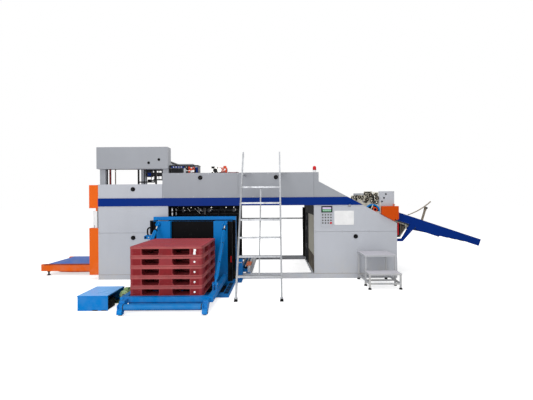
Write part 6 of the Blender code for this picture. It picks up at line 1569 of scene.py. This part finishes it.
def feeder_fittings():
    """Hose loop at the portal, bolts on the cradle, bumper sleeve, wheel guards and hub caps."""
    shape = bmesh.new()
    low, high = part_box("feeder_portal")
    seat, y = 0.925, low.y + 0.025
    loop = [(0.130, 0.150), (0.100, 0.162), (0.066, 0.138), (0.058, 0.060), (0.070, 0.010), (0.115, -0.004)]
    pipe(shape, [(low.x + x, y, seat + z) for x, z in loop], 0.0150, 10, 0)
    block(
        shape, (low.x + 0.030, low.y - 0.004, seat - 0.002), (low.x + 0.165, low.y + 0.058, seat + 0.014), 3
    )
    block(
        shape, (low.x + 0.010, low.y - 0.004, seat - 0.055), (low.x + 0.045, low.y + 0.040, seat - 0.012), 0
    )
    bolts(shape, 1, [(low.x + d, low.y, seat - 0.032) for d in (0.09, 0.15)], (0, -1, 0), 0.009)
    low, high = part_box("cradle")
    middle = (low.x + high.x) / 2
    beam_front = FRONT - 2.025
    for side in (-1, 1):
        places = [(middle + side * 0.680, beam_front + d, 0.170) for d in (0.10, 0.55, 1.00, 1.42)]
        bolts(shape, 3, places, (side, 0, 0), 0.012)
    axle_y, axle_z = low.y + 0.0395, 0.0465
    cap = [(0, 0.016), (0.006, 0.016), (0.009, 0.010), (0.009, 0.0005)]
    for way in (-1, 1):
        turned(shape, (middle + way * 0.632, axle_y, axle_z), (way, 0, 0), cap, 18, 1)
    # Painted sleeve on the bumper, its navy foot strip of painted shade under it, the closing plate below the
    # beam, and a navy strip of painted shade along the foot of the beam
    reach = 0.550
    rod(shape, (middle - reach, axle_y, 0.120), (middle + reach, axle_y, 0.120), 0.0408, 28, 4)
    discs(shape, 2, (middle - reach - 0.003, axle_y, 0.120), (2 * reach + 0.006, 0, 0), 2, 0.0415, 0.014, 28)
    block(shape, (middle - reach, axle_y - 0.018, 0.0745), (middle + reach, axle_y + 0.022, 0.0835), 5)
    block(shape, (middle - 0.556, beam_front + 0.002, 0.082), (middle + 0.556, beam_front + 0.008, 0.131), 3)
    block(shape, (middle - 0.640, beam_front - 0.002, 0.129), (middle + 0.640, beam_front + 0.001, 0.137), 5)
    # Wheel guards round the fronts of the forks
    angles = [math.radians(96 + 12 * i) for i in range(10)]
    for side in (-1, 1):
        x = sorted((middle + side * 0.561, middle + side * 0.634))
        outline = [
            (axle_y + r * math.cos(a), axle_z + r * math.sin(a))
            for r, line in ((0.0555, angles), (0.0520, angles[::-1])) for a in line
        ]
        skin(shape, [[(end, *point) for point in outline] for end in x], 3)
        block(shape, (x[0], axle_y - 0.006, 0.0985), (x[1], axle_y + 0.060, 0.158), 3)
    low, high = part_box("feeder_floor_frame")
    places = [(low.x + 0.05, low.y + d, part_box("feeder_portal")[0].z) for d in (0.05, 0.55)]
    bolts(shape, 1, places, (0, 0, 1), 0.014)
    bolts(
        shape, 1, [(high.x - 0.05, FRONT - 0.28, 0.020), (high.x - 0.09, FRONT - 0.20, 0.020)],
        (0, 0, 1), 0.012
    )
    bolts(shape, 1, [(high.x - d, FRONT - 0.135, 0.36) for d in (0.03, 0.06)], (0, -1, 0), 0.009)
    piece(
        "feeder_fittings", shape,
        ["black plastic", "ground steel", "oiled steel", "feeder paint", "roller paint", "painted shade navy"],
    )


def wheel_fittings():
    """Hubs that turn with the feeder's wheels."""
    for body, node in (("left_wheel", "wheel_left"), ("right_wheel", "wheel_right")):
        shape = bmesh.new()
        low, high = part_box(node)
        centre = (low + high) / 2
        width = high.x - low.x
        radius = (high.z - low.z) / 2
        for side in (-1, 1):
            face = centre + Vector((side * (width / 2 - 0.0015), 0, 0))
            rings = []
            for along, r in (
                (0.0, radius * 0.62), (side * 0.003, radius * 0.60), (side * 0.003, 0.0135), (0.0, 0.0125)
            ):
                rings.append([
                    face + Vector(
                        (along, r * math.cos(2 * math.pi * i / 24), r * math.sin(2 * math.pi * i / 24))
                    )
                    for i in range(24)
                ])
            skin(shape, rings, 0, closed=True)
        piece(f"{body}_hub", shape, ["ground steel"], body=body)


def power_pack_fittings():
    """Lid with a pale top sheet of painted reflection, tank behind the open side, and the pump motor's fins
    and cap.
    """
    shape = bmesh.new()
    low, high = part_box("power_pack_cover")
    lip = 0.004
    block(shape, (low.x - lip, low.y - lip, high.z - 0.012), (high.x, high.y + lip, high.z + 0.003), 0)
    # Pale sheet on the lid's top: painted reflection of the sky
    block(shape, (low.x, low.y, high.z + 0.002), (high.x - 0.004, high.y, high.z + 0.0045), 5)
    bolts(shape, 0, [(low.x + d, low.y, low.z + 0.19) for d in (0.03, 0.42)], (0, -1, 0), 0.006, 0.004, 12)
    bolts(shape, 0, [(low.x, low.y + d, low.z + 0.19) for d in (0.04, 0.5)], (-1, 0, 0), 0.006, 0.004, 12)
    # Black strips at the foot: painted shade in the cut-outs
    block(shape, (low.x + 0.22, low.y - 0.0012, 0.0004), (low.x + 0.30, low.y + 0.001, 0.014), 1)
    block(shape, (low.x + 0.355, low.y - 0.0012, 0.0004), (low.x + 0.43, low.y + 0.001, 0.010), 1)
    inner = 0.03
    block(shape, (low.x + 0.06, low.y + inner, 0.012), (high.x - 0.17, high.y - inner, high.z - 0.035), 1)
    block(shape, (high.x - 0.16, low.y + 0.05, 0.001), (high.x - 0.02, low.y + 0.26, 0.13), 1)
    spout = [(0, 0.03), (0.03, 0.03), (0.04, 0.018), (0.06, 0.018)]
    turned(shape, (high.x - 0.09, low.y + 0.15, 0.13), (0, 0, 1), spout, 18, 2)
    for x in (high.x - 0.13, high.x - 0.05):
        line = [
            (x, low.y + 0.26, 0.08), (x, low.y + 0.31, 0.08), (x, low.y + 0.33, 0.03),
            (x, low.y + 0.40, 0.03)
        ]
        pipe(shape, line, 0.009, 10, 3)
    low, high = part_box("pump_motor")
    x, z = high.x - 0.070, high.z - 0.070
    finned_motor(shape, (x, low.y + 0.004, z), (0, 1, 0), 0.0695, 0.252, (4, 1))
    disc(shape, 2, (x, low.y - 0.001, z), (0, 1, 0), 0.022, 0.006, 16)
    bolts(
        shape, 1, [(x + d, low.y + 0.001, z + e) for d in (-0.035, 0.035) for e in (-0.035, 0.035)],
        (0, -1, 0), 0.006
    )
    block(shape, (x - 0.032, low.y + 0.08, z + 0.050), (x + 0.032, low.y + 0.16, z + 0.088), 4)
    piece(
        "power_pack_fittings", shape,
        ["feeder paint", "black paint", "ground steel", "black plastic", "pump paint", "lid painted reflection"],
    )


# Pallets

def pallet_sides(shape, low, high, number):
    """One pallet's four sides: painted shade at its joint, a deck edge and lips under the pockets painted
    pale as rubbed wear and painted highlight, block fields darker as painted shade, and plugs.
    """
    middle, half = (low + high) / 2, (high.x - low.x) / 2
    corner, block_half, block_end = 0.055, 0.100, half - 0.185
    # Bands round the pallet: painted shade at the joint (slot 3), and pale lips of rubbed wear and painted
    # highlight (slot 4)
    for z_low, z_high, proud, slot in (
        (low.z, low.z + 0.0045, 0.0012, 3), (low.z + 0.0045, low.z + 0.0245, 0.0030, 4),
        (high.z - 0.0315, high.z - 0.0005, 0.0040, 4),
    ):
        rings = []
        for extra, z in ((proud, z_low), (proud, z_high), (-0.003, z_high), (-0.003, z_low)):
            row = []
            for quarter, (cx, cy) in enumerate(((1, 1), (-1, 1), (-1, -1), (1, -1))):
                for i in range(3):
                    angle = math.pi / 2 * (quarter + i / 2)
                    row.append((
                        middle.x + cx * (half - corner) + (corner + extra) * math.cos(angle),
                        middle.y + cy * (half - corner) + (corner + extra) * math.sin(angle), z,
                    ))
            rings.append(row)
        skin(shape, rings, slot, closed=True)
    for way in range(4):
        part = bmesh.new()

        def plate(x0, x1, z0, z1, proud, slot):
            block(part, (x0, -half - proud, z0), (x1, -half + 0.002, z1), slot)

        # Sunk block fields darker as painted shade in their recesses; on pallet 4 they keep the plain plastic
        field = 0 if number == 4 else 1
        plate(-block_half + 0.010, block_half - 0.010, low.z + 0.020, high.z - 0.026, 0.0012, field)
        for side in (-1, 1):
            x = sorted((side * (block_end + 0.012), side * (half - corner)))
            plate(x[0], x[1], low.z + 0.020, high.z - 0.026, 0.0012, 1 if side < 0 else field)
            for edge in (block_half - 0.003, block_end - 0.003):
                plate(side * edge - 0.003, side * edge + 0.003, low.z + 0.020, high.z - 0.026, 0.0024, 0)
        for x in (-0.30, -0.19, 0.19, 0.30):
            block(
                part, (x - 0.004, -half + 0.20, high.z - 0.046), (x + 0.004, -half + 0.34, high.z - 0.030), 0
            )
            block(
                part, (x - 0.060, -half + 0.10, high.z - 0.041), (x + 0.050, -half + 0.11, high.z - 0.032), 4
            )
        centre = (low.z + high.z) / 2 - 0.003
        if way % 2 == 0:
            turned(
                part, (half - 0.118, -half - 0.001, centre), (0, -1, 0),
                [(0, 0.015), (0.003, 0.015), (0.004, 0.010)], 16, 2
            )
            if number == 5:
                plate(half - 0.136, half - 0.100, centre - 0.042, centre - 0.004, 0.0035, 2)
                plate(half - 0.130, half - 0.094, centre + 0.006, centre + 0.042, 0.0035, 2)
        part.transform(
            Matrix.Translation((middle.x, middle.y, 0)) @ Matrix.Rotation(math.pi / 2 * way, 4, "Z")
        )
        mesh = bpy.data.meshes.new("pallet_side")
        part.to_mesh(mesh)
        part.free()
        shape.from_mesh(mesh)
        bpy.data.meshes.remove(mesh)


def pallet_details():
    """The sides of every pallet, and the deck sheet and ribs of the top one; the deck sheet is painted
    lighter as lit from above.
    """
    shape = bmesh.new()
    for number in range(1, 6):
        pallet_sides(shape, *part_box(f"pallet_{number}"), number)
    low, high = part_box("pallet_5")
    middle, pitch = (low + high) / 2, sizes().deck_rib_pitch
    inset = 0.022
    block(
        shape, (low.x + inset, low.y + inset, high.z - 0.001),
        (high.x - inset, high.y - inset, high.z + 0.0006), 5
    )
    span, top = high.x - low.x - 0.09, high.z + 0.0012
    count = int(span / pitch) + 1
    first = -pitch * (count - 1) / 2
    bars(shape, 5, (middle.x + first, middle.y, top), (pitch, 0, 0), count, (0.008, span, 0.0026))
    # Ribs in the lip colour: painted highlight on the deck
    bars(shape, 4, (middle.x, middle.y + first, top), (0, pitch, 0), count, (span, 0.008, 0.0026))
    bars(
        shape, 0, (middle.x, middle.y + first + pitch / 2, top - 0.0012), (0, pitch, 0), count - 1,
        (span, 0.014, 0.0012)
    )
    piece(
        "pallet_details", shape,
        [
            "pallet plastic", "shaded pallet field", "plug white", "pallet painted shade", "pallet lip wear and highlight", "lit pallet deck",
        ],
    )


# Ladder and stool

def tread_ridges(shape, node_low, node_high, z, depth_low, depth_high, slot=0):
    """Ridges along a tread, across the way a foot slips."""
    pitch = sizes().tread_ridge_pitch
    count = int((depth_high - depth_low - 0.012) / pitch) + 1
    start = (depth_low + depth_high) / 2 - pitch * (count - 1) / 2
    bars(
        shape, slot, ((node_low + node_high) / 2, start, z + 0.001), (0, pitch, 0), count,
        (node_high - node_low, 0.005, 0.003),
    )


def ladder_fittings():
    """Ridges on the treads, rivets at their ends, and black feet."""
    shape = bmesh.new()
    low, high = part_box("ladder")
    rail, foot = 0.028, 0.055
    tangent = math.tan(math.radians(60.0))
    foot_y = low.y + 0.025
    for i in range(6):
        z = 0.37 + 0.302 * i
        y = foot_y + (z - foot) / tangent
        tread_ridges(shape, low.x + rail + 0.014, high.x - rail - 0.014, z, y - 0.040, y + 0.040)
        for x, way in ((low.x + 0.011, -1), (high.x - 0.011, 1)):
            bolts(shape, 1, [(x, y + d, z - 0.014) for d in (-0.014, 0.014)], (way, 0, 0), 0.0055, 0.004, 10)
    for x in (low.x + 0.025, high.x - 0.025):
        block(shape, (x - 0.0255, foot_y - 0.0255, 0.0), (x + 0.0255, foot_y + 0.0255, 0.040), 2)
        block(shape, (x - 0.029, foot_y - 0.029, 0.0), (x + 0.029, foot_y + 0.029, 0.010), 2)
    piece("ladder_fittings", shape, ["drawn aluminium", "ground steel", "tyre rubber"])


def stool_fittings():
    """Pale ridges on the stool's treads, painted lighter as lit from above, and its black round feet."""
    shape = bmesh.new()
    low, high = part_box("step_stool")
    rise = high.z / 2
    middle = low.y + 0.316
    for z, near, far in ((high.z, middle - 0.02, high.y - 0.012), (rise, low.y + 0.012, middle - 0.035)):
        block(shape, (low.x + 0.008, near - 0.006, z - 0.001), (high.x - 0.008, far + 0.004, z + 0.0008), 0)
        tread_ridges(shape, low.x + 0.02, high.x - 0.02, z, near, far)
    rows = (low.y + 0.021, middle - 0.015, high.y - 0.021)
    for x in (low.x + 0.021, high.x - 0.021):
        for y in rows:
            turned(
                shape, (x, y, 0.0), (0, 0, 1),
                [(0, 0.030), (0.016, 0.030), (0.022, 0.022), (0.032, 0.018)], 18, 1
            )
    bolts(
        shape, 2, [(x, y, rise * 2 - 0.055) for x in (low.x + 0.006,) for y in rows[1:]],
        (-1, 0, 0), 0.006, 0.004, 12
    )
    piece("stool_fittings", shape, ["lit tread paint", "black plastic", "ground steel"])


# Stage

def make_stage():
    """Pale floor that keeps the shadow, white surroundings, soft lamps and the camera."""
    settings = bpy.context.scene.stacker_stage
    scene = bpy.context.scene
    floor_shape = bmesh.new()
    bmesh.ops.create_grid(floor_shape, x_segments=1, y_segments=1, size=60.0)
    mesh = bpy.data.meshes.new("floor")
    floor_shape.to_mesh(mesh)
    floor_shape.free()
    floor = bpy.data.objects.new("floor", mesh)
    floor.location.z = -0.001
    scene.collection.objects.link(floor)
    material = bpy.data.materials.new("floor")
    material.use_nodes = True
    nodes = material.node_tree
    shader = nodes.nodes["Principled BSDF"]
    shader.inputs["Base Color"].default_value = (0.80, 0.80, 0.80, 1.0)
    shader.inputs["Roughness"].default_value = 1.0
    shader.inputs["Specular IOR Level"].default_value = 0.0
    shader.inputs["Emission Color"].default_value = WHITE
    seen = add(nodes, "ShaderNodeLightPath").outputs["Is Camera Ray"]
    nodes.links.new(maths(nodes, "MULTIPLY", seen, settings.floor_glow), shader.inputs["Emission Strength"])
    mesh.materials.append(material)

    world = bpy.data.worlds.new("surroundings")
    world.use_nodes = True
    nodes = world.node_tree
    background = nodes.nodes["Background"]
    path = add(nodes, "ShaderNodeLightPath").outputs
    level = ranged(nodes, path["Is Glossy Ray"], 0.0, 1.0, settings.sky_level, settings.mirror_level)
    white = maths(nodes, "MAXIMUM", path["Is Camera Ray"], path["Is Transmission Ray"])
    nodes.links.new(maths(nodes, "MAXIMUM", white, level), background.inputs["Strength"])
    background.inputs["Color"].default_value = WHITE
    scene.world = world

    for name, power, size, place, target in (
        ("key lamp", settings.key_power, 6.0, (-2.3, -11.0, 3.0), (0.0, 0.0, 0.7)),
        ("top lamp", settings.top_power, 8.0, (1.5, -1.0, 8.5), (0.0, 0.0, 0.0)),
        ("rear lamp", settings.rear_power, 7.0, (3.0, 9.0, 6.0), (0.0, 0.0, 0.8)),
    ):
        lamp = bpy.data.lights.new(name, "AREA")
        lamp.energy = power
        lamp.size = size
        holder = bpy.data.objects.new(name, lamp)
        holder.location = place
        holder.rotation_euler = (Vector(target) - Vector(place)).to_track_quat("-Z", "Y").to_euler()
        scene.collection.objects.link(holder)

    camera = bpy.data.cameras.new("camera")
    camera.lens = settings.camera_lens
    camera.sensor_width = 36.0
    camera.shift_x = settings.camera_shift
    holder = bpy.data.objects.new("camera", camera)
    holder.location = settings.camera_place
    holder.rotation_euler = (math.radians(90.0), settings.camera_roll, 0.0)
    scene.collection.objects.link(holder)
    scene.camera = holder
    scene.view_settings.view_transform = "Standard"


# Operators

class STACKER_OT_finishes(Operator):
    """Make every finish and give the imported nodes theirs"""

    bl_idname = "stacker.finishes"
    bl_label = "Finishes"

    def execute(self, context):
        make_finishes()
        return {"FINISHED"}


class STACKER_OT_cover_fittings(Operator):
    """Make the cover latches, screws, edge trims and crosshead fittings"""

    bl_idname = "stacker.cover_fittings"
    bl_label = "Cover fittings"

    def execute(self, context):
        cover_latches()
        cover_screws()
        edge_trims()
        crosshead_fittings()
        return {"FINISHED"}


class STACKER_OT_lift(Operator):
    """Make the lift chains and the machinery in the tower's top"""

    bl_idname = "stacker.lift"
    bl_label = "Lift chains and drive"

    def execute(self, context):
        lift_chains()
        tower_machinery()
        return {"FINISHED"}


class STACKER_OT_console(Operator):
    """Make the console's screen, buttons and bare plate"""

    bl_idname = "stacker.console"
    bl_label = "Console"

    def execute(self, context):
        console_fittings()
        return {"FINISHED"}


class STACKER_OT_infeed(Operator):
    """Make the infeed head's machinery, the belt beds' rollers and the conveyor's fittings"""

    bl_idname = "stacker.infeed"
    bl_label = "Infeed head and conveyor"

    def execute(self, context):
        head_machinery()
        head_plates()
        bed_rollers("bridge_rollers", "bridge_belts", 0.9444, 2)
        bed_rollers("slope_rollers", "slope_belts", 0.9444, 1)
        bed_rollers("conveyor_rollers", "conveyor_belts", 0.8094, 2)
        conveyor_fittings()
        guide_fittings()
        return {"FINISHED"}


class STACKER_OT_bridge_top(Operator):
    """Make the valve bank, the gear motor and the beacon's rings on the bridge"""

    bl_idname = "stacker.bridge_top"
    bl_label = "Bridge top"

    def execute(self, context):
        valve_bank()
        bridge_motor()
        beacon_ribs()
        return {"FINISHED"}


class STACKER_OT_exit_end(Operator):
    """Make the exit guards' light curtains and the exit table's deck"""

    bl_idname = "stacker.exit_end"
    bl_label = "Exit end"

    def execute(self, context):
        exit_fittings()
        return {"FINISHED"}


class STACKER_OT_pallet_bay(Operator):
    """Make the machinery before the bay screen and on the transfer bed"""

    bl_idname = "stacker.pallet_bay"
    bl_label = "Pallet bay"

    def execute(self, context):
        bay_machinery()
        return {"FINISHED"}


class STACKER_OT_feeder(Operator):
    """Make the pallet feeder's liners of painted shade, tie rod fittings, bolts, hubs and power pack"""

    bl_idname = "stacker.feeder"
    bl_label = "Pallet feeder"

    def execute(self, context):
        mast_shade_liners()
        tie_rod_fittings()
        feeder_fittings()
        wheel_fittings()
        power_pack_fittings()
        return {"FINISHED"}


class STACKER_OT_pallets(Operator):
    """Make the pallets' ribs, fields and plugs"""

    bl_idname = "stacker.pallets"
    bl_label = "Pallets"

    def execute(self, context):
        pallet_details()
        return {"FINISHED"}


class STACKER_OT_steps(Operator):
    """Make the ladder's and the stool's ridges, rivets and feet"""

    bl_idname = "stacker.steps"
    bl_label = "Ladder and stool"

    def execute(self, context):
        ladder_fittings()
        stool_fittings()
        return {"FINISHED"}


class STACKER_OT_stage(Operator):
    """Make the floor, the surroundings, the lamps and the camera"""

    bl_idname = "stacker.stage"
    bl_label = "Stage"

    def execute(self, context):
        make_stage()
        return {"FINISHED"}


OPERATORS = (
    STACKER_OT_finishes, STACKER_OT_cover_fittings, STACKER_OT_lift, STACKER_OT_console,
    STACKER_OT_infeed, STACKER_OT_bridge_top, STACKER_OT_exit_end, STACKER_OT_pallet_bay,
    STACKER_OT_feeder, STACKER_OT_pallets, STACKER_OT_steps, STACKER_OT_stage,
)


class STACKER_PT_panel(Panel):
    """The stacker's pieces and settings in the sidebar"""

    bl_idname = "STACKER_PT_panel"
    bl_label = "Sheet stacker"
    bl_space_type = "VIEW_3D"
    bl_region_type = "UI"
    bl_category = "Stacker"

    def draw(self, context):
        layout = self.layout
        for operator in OPERATORS:
            layout.operator(operator.bl_idname)
        for settings in (
            context.scene.stacker_colours, context.scene.stacker_sizes, context.scene.stacker_stage,
        ):
            box = layout.box()
            for label in settings.__annotations__:
                box.prop(settings, label)


SETTINGS = (
    ("stacker_colours", StackerColours), ("stacker_sizes", StackerSizes),
    ("stacker_stage", StackerStage),
)


def register():
    for name, group in SETTINGS:
        bpy.utils.register_class(group)
        setattr(bpy.types.Scene, name, PointerProperty(type=group))
    for operator in OPERATORS:
        bpy.utils.register_class(operator)
    bpy.utils.register_class(STACKER_PT_panel)


def unregister():
    bpy.utils.unregister_class(STACKER_PT_panel)
    for operator in reversed(OPERATORS):
        bpy.utils.unregister_class(operator)
    for name, group in reversed(SETTINGS):
        delattr(bpy.types.Scene, name)
        bpy.utils.unregister_class(group)


def main():
    register()
    bpy.ops.stacker.finishes()
    bpy.ops.stacker.cover_fittings()
    bpy.ops.stacker.lift()
    bpy.ops.stacker.console()
    bpy.ops.stacker.infeed()
    bpy.ops.stacker.bridge_top()
    bpy.ops.stacker.exit_end()
    bpy.ops.stacker.pallet_bay()
    bpy.ops.stacker.feeder()
    bpy.ops.stacker.pallets()
    bpy.ops.stacker.steps()
    bpy.ops.stacker.stage()


if __name__ == "__main__":
    main()
